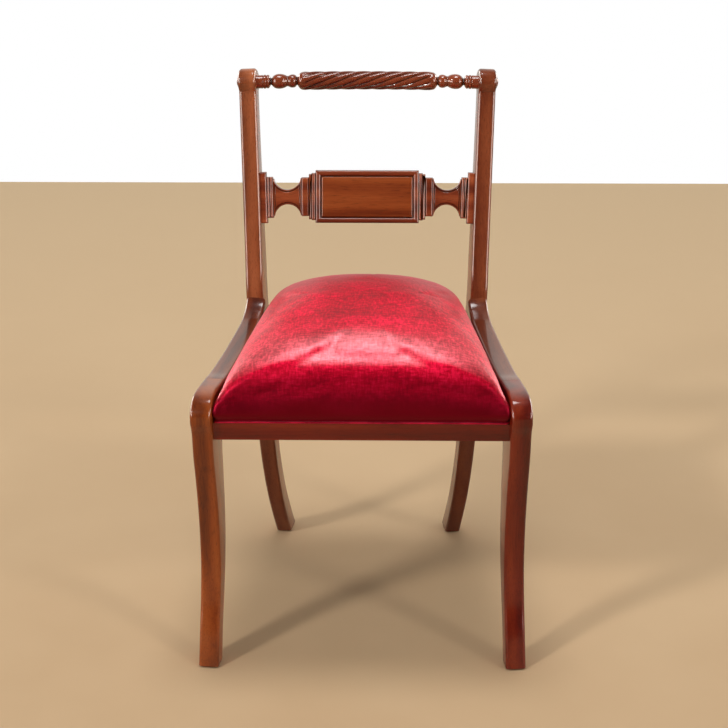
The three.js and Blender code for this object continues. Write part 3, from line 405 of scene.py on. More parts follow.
# The chair's frame in millimetres, X across, Y from front to back, Z up, as the solids have it
KNEE_WIDTH = 495.0
BACK_WIDTH = 389.5
FEET_WIDTH = 311.0
SEAT_RUN = 411.0
KNEE_HEIGHT = 437.0
LEDGE = 396.0
CREST_HEIGHT = 787.0
CANT_HEIGHT = 430.0
MEMBER, POST = 31.0, 28.0
FRONT_FOOT, REAR_FOOT, TAPER_HEIGHT = 30.5, 25.0, 360.0
EDGE, FIT, GLIDE_HEIGHT = 4.5, 0.3, 3.0
LEG_SWEEP, FOOT_DEPTH = 36.0, 33.0
KNEE_RUN, KNEE_DROP, KNEE_FILLET = 100.0, 5.0, 28.0
RAIL_DEPTH, RAIL_SAG = 50.0, 11.0
HORN_RISE, HORN_RUN, HORN_TAIL_SHARE = 28.0, 68.0, 0.25
REAR_SWEEP, BACK_SWEEP, REAR_DEPTH, HEAD_RADIUS = 72.0, 95.0, 43.0, 21.0
RAIL_TOP = KNEE_HEIGHT - RAIL_SAG
SEAT_TOP = RAIL_TOP + HORN_RISE
FRONT_RAIL_SETBACK = 12.0
SHIFT = FRONT_RAIL_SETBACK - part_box("front_rail")[0][1] / MM
# Height, setback and depth along each outline, as shares of the sizes above
LEG_SHARES = [
    (-0.05, -0.18, 1), (0, 0, 1), (0.121, 0.36, 0.95), (0.229, 0.72, 1.03), (0.343, 0.97, 1.17),
    (0.451, 0.985, 1.36), (0.561, 0.86, 1.52), (0.68, 0.61, 1.72), (0.78, 0.34, 1.93),
]
KNEE_SHARES = [(0.866, 0.078), (0.918, 0), (0.962, 0.055), (0.995, 0.32)]
FILLET_SHARES = [(0.9, 0.1), (0.3, 0.5)]
RAIL_SHARES = [(0.13, 0.33), (0.4, 0), (0.62, 0.2)]
HORN_SHARES = [(0.2, 0.14), (0.5, 0.28), (0.8, 0.58), (1, 1), (1.2, 1.8)]
REAR_LEG_SHARES = [
    (-0.05, 1.2, 1), (0, 1, 1), (0.09, 0.67, 0.95), (0.2, 0.335, 0.88), (0.335, 0.08, 0.84),
    (0.49, -0.05, 0.86), (0.67, -0.09, 0.93), (0.85, -0.05, 1), (1, 0, 1.03),
]
BACK_SHARES = [
    (0.16, 0.14, 0.97), (0.34, 0.3, 0.86), (0.542, 0.468, 0.76), (0.785, 0.67, 0.67), (1, 0.848, 0.65),
]

TOE = math.asin((KNEE_WIDTH - BACK_WIDTH) / 2 / SEAT_RUN)
REAR_FOOT_RUN = SEAT_RUN + REAR_SWEEP + REAR_DEPTH / 2
CANT = math.atan2((KNEE_WIDTH - FEET_WIDTH) / 2 - REAR_FOOT_RUN * math.sin(TOE), CANT_HEIGHT)
TO_FRAME = Matrix.Scale(MM, 4) @ Matrix.Translation((0, -SHIFT, 0))
SIDE_PLANE = Matrix.Translation((KNEE_WIDTH / 2, 0, 0)) @ Matrix.Rotation(TOE, 4, "Z")
POST_PLANE = (
    SIDE_PLANE @ Matrix.Translation((0, 0, CANT_HEIGHT)) @ Matrix.Rotation(CANT, 4, "Y")
    @ Matrix.Translation((0, 0, -CANT_HEIGHT))
)
UNMOVED, MIRRORED = Matrix.Identity(4), Matrix.Scale(-1, 4, (1, 0, 0))
SIDES = (("left", UNMOVED), ("right", MIRRORED))


def inner_half(y):
    """Half the clear width between the side rails."""
    return KNEE_WIDTH / 2 - MEMBER / math.cos(TOE) - y * math.tan(TOE)


def inner_face(height, y):
    """Half the clear width between the uprights."""
    return inner_half(y) + MEMBER - POST + (height - CANT_HEIGHT) * math.tan(CANT)


# Curves and meshes: distances that count as none, and angles in degrees over which an edge is sharp
ON_PLANE, WELD, SHARPEST_MITRE = 1e-6, 0.002, 0.4
SHARP_ANGLE, ROPE_ANGLE, TRIM_ANGLE = 40, 70, 20


def smooth(points, steps):
    """A curve through points: a uniform Catmull-Rom spline with its end points doubled."""
    last = len(points) - 1
    curve = []
    for i in range(steps + 1):
        k = min(int(last * i / steps), last - 1)
        w = last * i / steps - k
        a, b, c, d = (points[min(max(k + j, 0), last)] for j in (-1, 0, 1, 2))
        curve.append(tuple(
            b[n] + w * ((c[n] - a[n]) / 2 + w * (
                a[n] - 2.5 * b[n] + 2 * c[n] - d[n] / 2
                + w * (1.5 * (b[n] - c[n]) + (d[n] - a[n]) / 2)
            ))
            for n in range(len(b))
        ))
    return curve


def inset(outline, amount):
    """A closed outline, drawn anticlockwise, moved inwards."""
    moved = []
    for i, p in enumerate(outline):
        before = Vector(p) - Vector(outline[i - 1])
        after = Vector(outline[(i + 1) % len(outline)]) - Vector(p)
        a = Vector((-before.y, before.x)).normalized()
        b = Vector((-after.y, after.x)).normalized()
        mitre = (a + b) / max(SHARPEST_MITRE, 1 + a.dot(b))
        moved.append(tuple(Vector(p) + amount * mitre))
    return moved


def skin(rings, shade_amounts=None):
    """A closed mesh over rings of as many points each, with a face on either end."""
    mesh = bmesh.new()
    # a painted-shade amount for each point, which the wood's finish darkens by
    layer = mesh.verts.layers.float.new("stain_and_shade")
    made = [[mesh.verts.new(point) for point in ring] for ring in rings]
    for ring, amounts in zip(made, shade_amounts or []):
        for vert, amount in zip(ring, amounts):
            vert[layer] = amount
    for lower, upper in zip(made, made[1:]):
        for i in range(len(lower)):
            mesh.faces.new((lower[i - 1], lower[i], upper[i], upper[i - 1]))
    mesh.faces.new(made[0])
    mesh.faces.new(made[-1])
    return mesh


def sharpen(mesh, angle):
    """Marks the edges that turn by more than an angle in degrees."""
    for edge in mesh.edges:
        if len(edge.link_faces) == 2 and edge.calc_face_angle(0) > math.radians(angle):
            edge.smooth = False


def cut(mesh, point, normal):
    """Cuts off what lies ahead of a plane and closes the mesh there with a sharp edge."""
    mesh.normal_update()
    found = bmesh.ops.bisect_plane(
        mesh, geom=mesh.verts[:] + mesh.edges[:] + mesh.faces[:],
        plane_co=point, plane_no=normal, clear_outer=True, dist=ON_PLANE,
    )
    edges = [e for e in found["geom_cut"] if isinstance(e, bmesh.types.BMEdge)]
    bmesh.ops.holes_fill(mesh, edges=edges)
    for edge in edges:
        if edge.is_valid:
            edge.smooth = False


def place(name, mesh, matrix, material, slot, *nodes, sharp=SHARP_ANGLE):
    """Makes a piece of a mesh in the chair's millimetres, which stands for CAD nodes."""
    bmesh.ops.remove_doubles(mesh, verts=mesh.verts, dist=WELD)
    mesh.transform(TO_FRAME @ matrix)
    mesh.normal_update()
    bmesh.ops.recalc_face_normals(mesh, faces=mesh.faces)
    sharpen(mesh, sharp)
    for face in mesh.faces:
        face.smooth = True
    data = bpy.data.meshes.new(name)
    mesh.to_mesh(data)
    mesh.free()
    piece = bpy.data.objects.new(name, data)
    scene.collection.objects.link(piece)
    data.materials.append(material)
    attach(piece, "root")
    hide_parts(*nodes)
    return piece


# Legs, side rails and uprights: bars in a side plane with well rounded edges
EDGE_STEPS, CURVE_STEPS, HEAD_STEPS = 7, 170, 48
# The knife that trims a side rail behind: its reach back, its foot, and its two faces
KNIFE_REACH, KNIFE_FOOT, KNIFE_FACES = 300, -30.0, (60.0, -90.0)


def blade(outline, thickness, foot=None):
    """A bar of one thickness in a side plane, tapered on its inner face to a thinner foot if asked."""
    foot = foot or thickness
    turn = [j / EDGE_STEPS * math.pi / 2 for j in range(EDGE_STEPS + 1)]
    section = [(EDGE * (1 - math.sin(a)), EDGE * (1 - math.cos(a))) for a in turn]
    section += [(inward, thickness - depth) for inward, depth in reversed(section)]
    rings = []
    for inward, depth in section:
        ring = []
        for run, height in inset(outline, inward):
            fall = min(1, max(0, 1 - height / TAPER_HEIGHT))
            ring.append((-depth * (1 - fall * (1 - foot / thickness)), run, height))
        rings.append(ring)
    return skin(rings)


def side_outline():
    """The front leg and side rail in one outline, anticlockwise."""
    span = SEAT_RUN - KNEE_RUN
    under = RAIL_TOP - RAIL_DEPTH
    top = [(s * LEG_SWEEP, h * KNEE_HEIGHT) for h, s, d in LEG_SHARES]
    top += [(r * KNEE_RUN, h * KNEE_HEIGHT) for h, r in KNEE_SHARES]
    top += [(KNEE_RUN, KNEE_HEIGHT - KNEE_DROP)]
    top += [(KNEE_RUN + p * span, RAIL_TOP + (RAIL_SAG - KNEE_DROP) * r) for p, r in RAIL_SHARES]
    top += [(SEAT_RUN - HORN_RUN * (1 - r), RAIL_TOP + HORN_RISE * c) for r, c in HORN_SHARES]
    back = [(s * LEG_SWEEP + d * FOOT_DEPTH, h * KNEE_HEIGHT) for h, s, d in LEG_SHARES]
    low = [(SEAT_RUN + HORN_TAIL_SHARE * HORN_RUN, under + EDGE)]
    low += [(KNEE_RUN + p * span, under) for p, r in reversed(RAIL_SHARES)]
    low += [(back[-1][0] + r * KNEE_FILLET, under - d * KNEE_FILLET) for r, d in FILLET_SHARES]
    low += list(reversed(back))
    return list(reversed(smooth(top, CURVE_STEPS) + smooth(low, CURVE_STEPS)))


def post_edges(clearance=0.0):
    """The upright's front and back edges, from foot to head."""
    height = CREST_HEIGHT - SEAT_TOP
    stations = [(SEAT_RUN + s * REAR_SWEEP, h * SEAT_TOP, d * REAR_DEPTH) for h, s, d in REAR_LEG_SHARES]
    stations += [
        (SEAT_RUN + s * BACK_SWEEP, SEAT_TOP + h * height, d * REAR_DEPTH) for h, s, d in BACK_SHARES
    ]
    front = smooth([(run - clearance, h) for run, h, d in stations], CURVE_STEPS)
    back = smooth([(run + d, h) for run, h, d in stations], CURVE_STEPS)
    return front, back


def post_outline():
    """The upright's outline, with its head as the arc of a circle round the crest rail's axis."""
    front, back = post_edges()
    centre = Vector((SEAT_RUN + BACK_SWEEP, CREST_HEIGHT))
    front, back = ([p for p in edge if (Vector(p) - centre).length > HEAD_RADIUS] for edge in (front, back))
    first = math.atan2(back[-1][1] - centre.y, back[-1][0] - centre.x)
    last = math.atan2(front[-1][1] - centre.y, front[-1][0] - centre.x) % (2 * math.pi)
    arc = []
    for i in range(1, HEAD_STEPS):
        angle = first + (last - first) * i / HEAD_STEPS
        arc.append((centre.x + HEAD_RADIUS * math.cos(angle), centre.y + HEAD_RADIUS * math.sin(angle)))
    return back + arc + list(reversed(front))


def evaluated(piece):
    """A piece's mesh with its modifiers applied."""
    return bpy.data.meshes.new_from_object(piece.evaluated_get(bpy.context.evaluated_depsgraph_get()))


def trim(piece, knife, matrix):
    """Cuts a piece by a closed mesh and keeps the result as its own."""
    knife.transform(TO_FRAME @ matrix)
    knife.normal_update()
    bmesh.ops.recalc_face_normals(knife, faces=knife.faces)
    data = bpy.data.meshes.new("knife")
    knife.to_mesh(data)
    knife.free()
    cutter = bpy.data.objects.new("knife", data)
    scene.collection.objects.link(cutter)
    modifier = piece.modifiers.new("trim", "BOOLEAN")
    modifier.object = cutter
    modifier.solver = "EXACT"
    bpy.context.view_layer.update()
    shaped = evaluated(piece)
    piece.modifiers.clear()
    old = piece.data
    piece.data = shaped
    bpy.data.meshes.remove(old)
    bpy.data.objects.remove(cutter)
    bpy.data.meshes.remove(data)
    mesh = bmesh.new()
    mesh.from_mesh(shaped)
    sharpen(mesh, TRIM_ANGLE)
    mesh.to_mesh(shaped)
    mesh.free()


def side_pieces():
    outline = side_outline()
    knife_front, _ = post_edges(FIT)
    knife = knife_front + [(SEAT_RUN + KNIFE_REACH, CREST_HEIGHT), (SEAT_RUN + KNIFE_REACH, KNIFE_FOOT)]
    for side, flip in SIDES:
        leg = blade(outline, MEMBER, FRONT_FOOT)
        cut(leg, (0, KNEE_RUN - FIT / 2, 0), (0, 1, 0))
        cut(leg, (0, 0, GLIDE_HEIGHT), (0, 0, -1))
        place(
            f"sabre_leg_{side}", leg, flip @ SIDE_PLANE, wood[f"leg_{side}"], "mahogany_legs",
            f"front_leg_{side}",
        )
        rail = blade(outline, MEMBER)
        cut(rail, (0, KNEE_RUN + FIT / 2, 0), (0, -1, 0))
        piece = place(
            f"swept_rail_{side}", rail, flip @ SIDE_PLANE, wood[f"rail_{side}"], "mahogany_side_rails",
            f"side_rail_{side}",
        )
        faces = [[(x, run, z) for run, z in reversed(knife)] for x in KNIFE_FACES]
        trim(piece, skin(faces), flip @ POST_PLANE)
        upright = blade(post_outline(), POST, REAR_FOOT)
        upright.transform(POST_PLANE)
        cut(upright, (0, 0, GLIDE_HEIGHT), (0, 0, -1))
        place(
            f"swept_upright_{side}", upright, flip, wood[f"upright_{side}"], "mahogany_uprights",
            f"back_upright_{side}",
        )


# Crest rail: eight rounded strands between turned ends, in one skin
CREST_RADIUS, CREST_BOW, TWIST_SHARE, TWIST_PITCH = 14.8, 13.0, 0.614, 200.0
STRANDS, STRAND_RADIUS, GROOVE_DEPTH = 8, 4.9, 2.5
# Where the grooves start inside the twist's end, and how far they take to reach their depth
TWIST_LIP, RUN_OUT = 1, 13
TWIST_STEPS, STATION_STEPS, STRAND_STEPS = 90, 6, 12
# Painted shade lies in the grooves, and round necks that are thinner than this radius
NECK_RADIUS, NECK_FADE, GROOVE_POWER, MOST_SHADE = 10.0, 4, 1.4, 0.9
NECKS = {"bead": 6.6, "vase": 8.4, "collar": 5.7}
BEAD, VASE, COLLAR = 10.6, 11.9, 10.8
# Each form's radius, then places between the twist and the upright, with their share of that radius
TURNED = [
    (CREST_RADIUS, [(-0.1, 0.99), (-0.05, 0.95), (-0.01, 0.87), (0.018, 0.74), (0.042, 0.57)]),
    (NECKS["bead"], [(0.062, 1)]),
    (BEAD, [(0.08, 0.68), (0.1, 0.85), (0.135, 0.97), (0.175, 1), (0.215, 0.97), (0.25, 0.87)]),
    (NECKS["vase"], [(0.28, 1), (0.305, 1)]),
    (VASE, [(0.34, 0.82), (0.39, 0.93), (0.44, 0.985), (0.49, 1), (0.55, 0.96), (0.6, 0.84), (0.64, 0.65)]),
    (NECKS["collar"], [(0.665, 1), (0.685, 1)]),
    (COLLAR, [
        (0.7, 0.7), (0.72, 0.9), (0.74, 1), (0.77, 1), (0.783, 0.9), (0.797, 1), (0.845, 1.02),
        (0.86, 0.9), (0.875, 1), (0.93, 0.98), (1.02, 1), (1.12, 1),
    ]),
]
CREST_RUN = (SEAT_RUN + BACK_SWEEP) * math.cos(TOE)
CREST_HALF = inner_face(CREST_HEIGHT, CREST_RUN)
TWIST_HALF = TWIST_SHARE * CREST_HALF


def crest_piece():
    end = CREST_HALF - TWIST_HALF
    stations = [(TWIST_HALF + p * end, radius * share) for radius, table in TURNED for p, share in table]
    turned = smooth(stations, len(stations) * STATION_STEPS)
    twist = [(turned[0][0] * i / TWIST_STEPS, CREST_RADIUS) for i in range(TWIST_STEPS)]
    half = twist + turned
    profile = [(-x, r) for x, r in reversed(half[1:])] + half
    seat = CREST_RADIUS - STRAND_RADIUS
    around = STRANDS * STRAND_STEPS
    rings, shade_amounts = [], []
    for x, radius in profile:
        relief = min(1, max(0, (TWIST_HALF - TWIST_LIP - abs(x)) / RUN_OUT))
        relief = relief * relief * (3 - 2 * relief)
        turn = x / TWIST_PITCH * 2 * math.pi
        bow = CREST_BOW * (1 - (x / CREST_HALF) ** 2)
        neck = max(0, (NECK_RADIUS - radius) / NECK_FADE)
        ring, stain_and_shade = [], []
        for i in range(around):
            local = (i / STRAND_STEPS % 1 - 0.5) * 2 * math.pi / STRANDS
            strand = seat * math.cos(local) + math.sqrt(STRAND_RADIUS ** 2 - (seat * math.sin(local)) ** 2)
            r = radius + relief * (strand - CREST_RADIUS)
            angle = i / around * 2 * math.pi - turn
            ring.append((x, CREST_RUN + bow + r * math.cos(angle), CREST_HEIGHT + r * math.sin(angle)))
            # painted shade, deepest in the grooves and round the thin necks
            groove_shade = relief * ((CREST_RADIUS - strand) / GROOVE_DEPTH) ** GROOVE_POWER
            stain_and_shade.append(min(1, max(neck, groove_shade)) * MOST_SHADE)
        rings.append(ring)
        shade_amounts.append(stain_and_shade)
    rope = skin(rings, shade_amounts)
    place("rope_crest", rope, UNMOVED, wood["crest"], "mahogany_crest", "crest_rail", sharp=ROPE_ANGLE)


# The turned boss outside each head, as radius and height: a rim, a fine groove and a low dome
BUTTON = [
    (10.5, -1.0), (10.5, 0.2), (10.5, 1.5), (9.9, 2.4), (8.9, 2.6), (8.3, 2.2), (7.8, 2.7), (6.4, 3.9),
    (4.2, 4.7), (2.0, 5.0), (0.2, 5.05),
]
BUTTON_STEPS, BUTTON_AROUND = 60, 48


def button_pieces():
    turns = [i / BUTTON_AROUND * 2 * math.pi for i in range(BUTTON_AROUND)]
    for side, flip in SIDES:
        rings = [
            [(x, SEAT_RUN + BACK_SWEEP + r * math.cos(a), CREST_HEIGHT + r * math.sin(a)) for a in turns]
            for r, x in smooth(BUTTON, BUTTON_STEPS)
        ]
        place(
            f"turned_button_{side}", skin(rings), flip @ POST_PLANE, wood[f"button_{side}"],
            "mahogany_buttons", f"crest_button_{side}",
        )


# Splat: moulded plates in a plane that leans back with the uprights
SPLAT_BOW, TABLET_HEIGHT, TABLET_THICK = 10.0, 85.0, 22.0
SPLAT_SHARE, SPLAT_DEPTH_SHARE = 0.457, 0.34
ARM_SHARES = (0.489, 0.551, 0.62, 0.888, 0.947)
PANEL_BORDER, PANEL_GAP, PANEL_THICK, PANEL_BACK_ROUNDING = 9.0, 1.2, 2.4, 0.3
BACK_ROUNDING, PLATE_STEPS, FINE_STEPS = 1.2, 18, 40


def front_run(height):
    """How far back the upright's front edge lies, at a height from the floor that is over the seat."""
    at = (height - SEAT_TOP) / (CREST_HEIGHT - SEAT_TOP)
    stations = [(0, 0, 0)] + BACK_SHARES
    k = next(i for i, s in enumerate(stations) if s[0] >= at)
    low, high = stations[k - 1], stations[k]
    share = low[1] + (high[1] - low[1]) * (at - low[0]) / (high[0] - low[0])
    return SEAT_RUN + BACK_SWEEP * share


SPLAT_HEIGHT = SEAT_TOP + SPLAT_SHARE * (CREST_HEIGHT - SEAT_TOP)
SPLAT_RUN = (front_run(SPLAT_HEIGHT) + SPLAT_DEPTH_SHARE * REAR_DEPTH) * math.cos(TOE)
SPLAT_FALL = front_run(SPLAT_HEIGHT + TABLET_HEIGHT / 2) - front_run(SPLAT_HEIGHT - TABLET_HEIGHT / 2)
RAKE = math.atan2(SPLAT_FALL * math.cos(TOE), TABLET_HEIGHT)
SPLAT_HALF = inner_face(SPLAT_HEIGHT, SPLAT_RUN)
SPLAT_PLANE = Matrix.Translation((0, SPLAT_RUN, SPLAT_HEIGHT)) @ Matrix.Rotation(math.pi / 2 - RAKE, 4, "X")
SPLAT_LEAN = math.cos(RAKE) * math.tan(CANT) - math.sin(RAKE) * math.tan(TOE)
TABLET, REED, STEP, WAIST, OUTER = (share * SPLAT_HALF for share in ARM_SHARES)

# Sections: distance in from the outline, and fall below the plate's front face
BEAD_SECTION = [(0, 2.6), (0.35, 1.3), (1.0, 0.45), (1.9, 0.05), (2.15, 0)]
WIDE_SECTION = [(0, 2.2), (0.4, 1.1), (1.1, 0.35), (2.2, 0)]
WAIST_SECTION = [
    (0, 1.9), (0.25, 1.0), (0.8, 0.35), (1.5, 0.2), (2.0, 0.7), (2.4, 1.9), (2.9, 2.0), (3.4, 0.9),
    (4.2, 0.15), (5.2, 0),
]
TABLET_SECTION = [
    (0, 4.0), (0.3, 2.0), (1.0, 0.9), (2.2, 0.3), (4.0, 0), (5.8, 0.25), (7.2, 0.9), (8.1, 1.9),
    (8.6, 3.0), (9.0, 3.2),
]
PANEL_SECTION = [(0, 1.2), (0.2, 0.6), (0.7, 0.15), (1.4, 0)]
TABLET_SINK = TABLET_SECTION[-1][1]
# How a plate's painted shade follows its section's fall, and the painted shade on its back's edges
FALL_POWER, BACK_EDGE_SHADES = 1.5, [0.6, 0.3]

# The waisted part of an arm, then its plates: inner and outer end, height, thickness and section
WAIST_LIP, WAIST_SHOULDER, WAIST_MIDDLE, WAIST_THICK, WAIST_STEPS = 1.6, 60.0, 23.5, 17.0, 56
INNER_SPLIT_SHARE, OUTER_SPLIT_SHARE, ARM_OVERRUN = 0.6, 0.55, 3
INNER_SPLIT = TABLET + (REED - TABLET) * INNER_SPLIT_SHARE
OUTER_SPLIT = WAIST + (OUTER - WAIST) * OUTER_SPLIT_SHARE
INNER_PLATES = [
    (TABLET + FIT, INNER_SPLIT, 76.0, 19.0, WIDE_SECTION),
    (INNER_SPLIT, REED, 73.0, 21.0, BEAD_SECTION),
    (REED, STEP, 62.5, 17.5, WIDE_SECTION),
]
OUTER_PLATES = [
    (WAIST, OUTER_SPLIT, 66.0, 17.5, BEAD_SECTION),
    (OUTER_SPLIT, OUTER, 66.0, 18.5, BEAD_SECTION),
    (OUTER, SPLAT_HALF + ARM_OVERRUN, 82.5, 20.0, WIDE_SECTION),
]


def corners(x0, x1, height, steps=PLATE_STEPS):
    """A rectangle with points along its edges, anticlockwise."""
    points = []
    ends = [(x0, -height / 2), (x1, -height / 2), (x1, height / 2), (x0, height / 2)]
    for a, b in zip(ends, ends[1:] + ends[:1]):
        points += [
            (a[0] + (b[0] - a[0]) * i / steps, a[1] + (b[1] - a[1]) * i / steps) for i in range(steps)
        ]
    return points


def waist_ring(inward):
    """A bar hollowed above and below by arcs, drawn a distance inside its edge."""
    half = (WAIST - STEP) / 2
    sag = (WAIST_SHOULDER - WAIST_MIDDLE) / 2
    arc_half = half - WAIST_LIP
    radius = (arc_half ** 2 + sag ** 2) / (2 * sag)
    centre = WAIST_MIDDLE / 2 + radius
    middle = (STEP + WAIST) / 2
    wide = radius + inward
    top = math.acos((centre - WAIST_SHOULDER / 2 + inward) / wide)
    spread = min(top, math.asin(min(1, (half - inward) / wide)))
    upper = [(middle + half - inward, centre - wide * math.cos(spread))]
    for i in range(WAIST_STEPS + 1):
        angle = spread * (1 - 2 * i / WAIST_STEPS)
        upper.append((middle + wide * math.sin(angle), centre - wide * math.cos(angle)))
    upper.append((middle - half + inward, upper[0][1]))
    return [(x, -y) for x, y in reversed(upper)] + upper


def plate(outline, thickness, section, rounding=BACK_ROUNDING):
    """A moulded plate: its front face follows the section, and its back has a small rounding."""
    def drawn(inward):
        return outline(inward) if callable(outline) else inset(outline, inward)
    front = thickness / 2
    rings = [(drawn(inward), front - fall) for inward, fall in reversed(section)]
    rings += [(drawn(0), rounding - front), (drawn(rounding), -front)]
    # painted shade, more where the section falls deeper
    deepest = max(fall for _, fall in section)
    amounts = [min(MOST_SHADE, (fall / deepest) ** FALL_POWER) for _, fall in reversed(section)]
    return skin(
        [[(x, y, z) for x, y in ring] for ring, z in rings],
        [[amount] * len(ring) for (ring, _), amount in zip(rings, amounts + BACK_EDGE_SHADES)],
    )


def in_splat(mesh, lean=True):
    """Moves a plate's points into the chair: leaning towards the upright, raked and bowed."""
    for vert in mesh.verts:
        x, y, z = vert.co
        if lean:
            x += y * SPLAT_LEAN * (x - TABLET) / (SPLAT_HALF - TABLET)
        point = SPLAT_PLANE @ Vector((x, y, z))
        share = x / SPLAT_HALF if lean else TABLET / SPLAT_HALF
        point.y += SPLAT_BOW * (1 - share ** 2)
        vert.co = point
    return mesh


def joined(meshes):
    """One mesh of several closed skins."""
    whole = bmesh.new()
    for mesh in meshes:
        data = bpy.data.meshes.new("part")
        mesh.to_mesh(data)
        whole.from_mesh(data)
        mesh.free()
        bpy.data.meshes.remove(data)
    return whole


def splat_pieces():
    for side, flip in SIDES:
        parts = [plate(corners(*ends, high), thick, form) for *ends, high, thick, form in INNER_PLATES]
        parts.append(plate(waist_ring, WAIST_THICK, WAIST_SECTION))
        parts += [plate(corners(*ends, high), thick, form) for *ends, high, thick, form in OUTER_PLATES]
        place(
            f"moulded_arm_{side}", joined(in_splat(part) for part in parts), flip, wood[f"arm_{side}"],
            "mahogany_splat", f"splat_arm_{side}",
        )
    tablet = plate(corners(-TABLET, TABLET, TABLET_HEIGHT, FINE_STEPS), TABLET_THICK, TABLET_SECTION)
    place(
        "moulded_tablet", in_splat(tablet, False), UNMOVED, wood["tablet"], "mahogany_tablet",
        "splat_tablet",
    )
    inner = PANEL_BORDER + PANEL_GAP
    outline = corners(inner - TABLET, TABLET - inner, TABLET_HEIGHT - 2 * inner, FINE_STEPS)
    panel = plate(outline, PANEL_THICK, PANEL_SECTION, PANEL_BACK_ROUNDING)
    panel.transform(Matrix.Translation((0, 0, TABLET_THICK / 2 - TABLET_SINK + PANEL_THICK / 2)))
    place("figured_panel", in_splat(panel, False), UNMOVED, wood["panel"], "panel_veneer", "splat_panel")


side_pieces()
crest_piece()
button_pieces()
splat_pieces()


# The slip seat's plan, as in the solids
SEAT_FRONT, SEAT_BACK, SEAT_CLEARANCE, WALL_RISE, CROWN = 9.0, 430.0, 0.8, 18.0, 100.0
FRONT_CORNER, BACK_CORNER, LEAST_CORNER = 12, 46, 4.5
FRONT_ROUND, BACK_ROUND, SIDE_ROUND = 3.4, 4.0, 3
EDGE_POINTS, FRONT_BEND, BACK_BEND, CROWN_RINGS = 26, 8, 14, 44
HALF_FRONT = inner_half(SEAT_FRONT) - SEAT_CLEARANCE
HALF_BACK = inner_half(SEAT_BACK) - SEAT_CLEARANCE - (CANT_HEIGHT - LEDGE) * math.tan(CANT)
HEM = LEDGE + FIT
WALL = LEDGE + WALL_RISE
MIDDLE = (SEAT_FRONT + SEAT_BACK) / 2
# The cover's lower edge: distance in from its plan and height over the hem, with a rolled fold
SKIRT = [
    (23, 1.5), (23, 0), (10, 0), (3, 0), (1.2, 0.4), (0.5, 1.4), (0.9, 2.6), (2.3, 3.3), (3.2, 4.0),
    (2.7, 5.6), (1.4, 9.0), (0.4, 13.5),
]
CORNER_BULGE, CORNER_HEIGHT, CORNER_RISE, CORNER_REACH = 5.5, 415.0, 15.0, 20.0


def seat_half(y):
    """Half the seat's width."""
    return HALF_FRONT - (y - SEAT_FRONT) * (HALF_FRONT - HALF_BACK) / (SEAT_BACK - SEAT_FRONT)


def plan(inward):
    """The seat's outline, a distance inside its edge, anticlockwise from the middle of its front."""
    front, back = SEAT_FRONT + inward, SEAT_BACK - inward
    half_front, half_back = HALF_FRONT - inward, HALF_BACK - inward
    lean = (half_front - half_back) / (back - front)
    near, far = max(FRONT_CORNER - inward, LEAST_CORNER), max(BACK_CORNER - inward, LEAST_CORNER)

    def half_at(y):
        return half_front - (y - front) * lean

    bends = [
        (EDGE_POINTS, FRONT_BEND, (half_front - near, front), (half_front, front),
         (half_at(front + near), front + near)),
        (EDGE_POINTS * 2, BACK_BEND, (half_at(back - far), back - far), (half_back, back),
         (half_back - far, back)),
    ]
    right = []
    start = (0.0, front)
    for count, bend, a, b, c in bends:
        for i in range(count):
            right.append(tuple(start[k] + (a[k] - start[k]) * i / count for k in (0, 1)))
        for i in range(bend):
            s = i / bend
            right.append(tuple((1 - s) ** 2 * a[k] + 2 * s * (1 - s) * b[k] + s * s * c[k] for k in (0, 1)))
        start = c
    right += [(start[0] * (1 - i / EDGE_POINTS), start[1]) for i in range(EDGE_POINTS + 1)]
    left = [(-x, y) for x, y in reversed(right[1:-1])]
    return right + left


def height_at(x, y):
    """The crown's height over the wall."""
    a = min(1.0, abs(x) / seat_half(y))
    b = min(1.0, abs(y - MIDDLE) / ((SEAT_BACK - SEAT_FRONT) / 2))
    power = FRONT_ROUND if y < MIDDLE else BACK_ROUND
    return CROWN * (1 - a ** SIDE_ROUND) ** (1 / SIDE_ROUND) * (1 - b ** power) ** (1 / power)


def bulged(x, y, z):
    """Swells the cushion's two front corners out over the knees."""
    across = (seat_half(y) - abs(x)) / CORNER_REACH
    near = math.exp(-((y - SEAT_FRONT) / CORNER_REACH) ** 2 - across ** 2)
    amount = CORNER_BULGE * near * math.exp(-((z - CORNER_HEIGHT) / CORNER_RISE) ** 2)
    return x + math.copysign(amount, x), y - amount, z


def cushion_mesh(name):
    """The crowned seat as one closed skin: hem, drawn-in edge with its rolled fold, wall and crown."""
    rim = plan(0)
    count = len(rim)
    rings = [[(x, y, HEM + rise) for x, y in plan(inward)] for inward, rise in SKIRT]
    rings.append([(x, y, WALL) for x, y in rim])
    for j in range(1, CROWN_RINGS):
        share = math.cos(j / CROWN_RINGS * math.pi / 2)
        points = [(x * share, MIDDLE + (y - MIDDLE) * share) for x, y in rim]
        rings.append([(x, y, WALL + height_at(x, y)) for x, y in points])
    mesh = bmesh.new()
    made = [[mesh.verts.new(TO_FRAME @ Vector(bulged(*point))) for point in ring] for ring in rings]
    top = mesh.verts.new((0, (MIDDLE - SHIFT) * MM, (WALL + CROWN) * MM))
    bottom = mesh.verts.new((0, (MIDDLE - SHIFT) * MM, (HEM + SKIRT[0][1]) * MM))
    for lower, upper in zip(made, made[1:]):
        for i in range(count):
            k = (i + 1) % count
            mesh.faces.new((lower[i], lower[k], upper[k], upper[i]))
    for i in range(count):
        k = (i + 1) % count
        mesh.faces.new((made[-1][i], made[-1][k], top))
        mesh.faces.new((made[0][k], made[0][i], bottom))
    bmesh.ops.recalc_face_normals(mesh, faces=mesh.faces)
    data = bpy.data.meshes.new(name)
    mesh.to_mesh(data)
    mesh.free()
    for polygon in data.polygons:
        polygon.use_smooth = True
    piece = bpy.data.objects.new(name, data)
    scene.collection.objects.link(piece)
    return piece


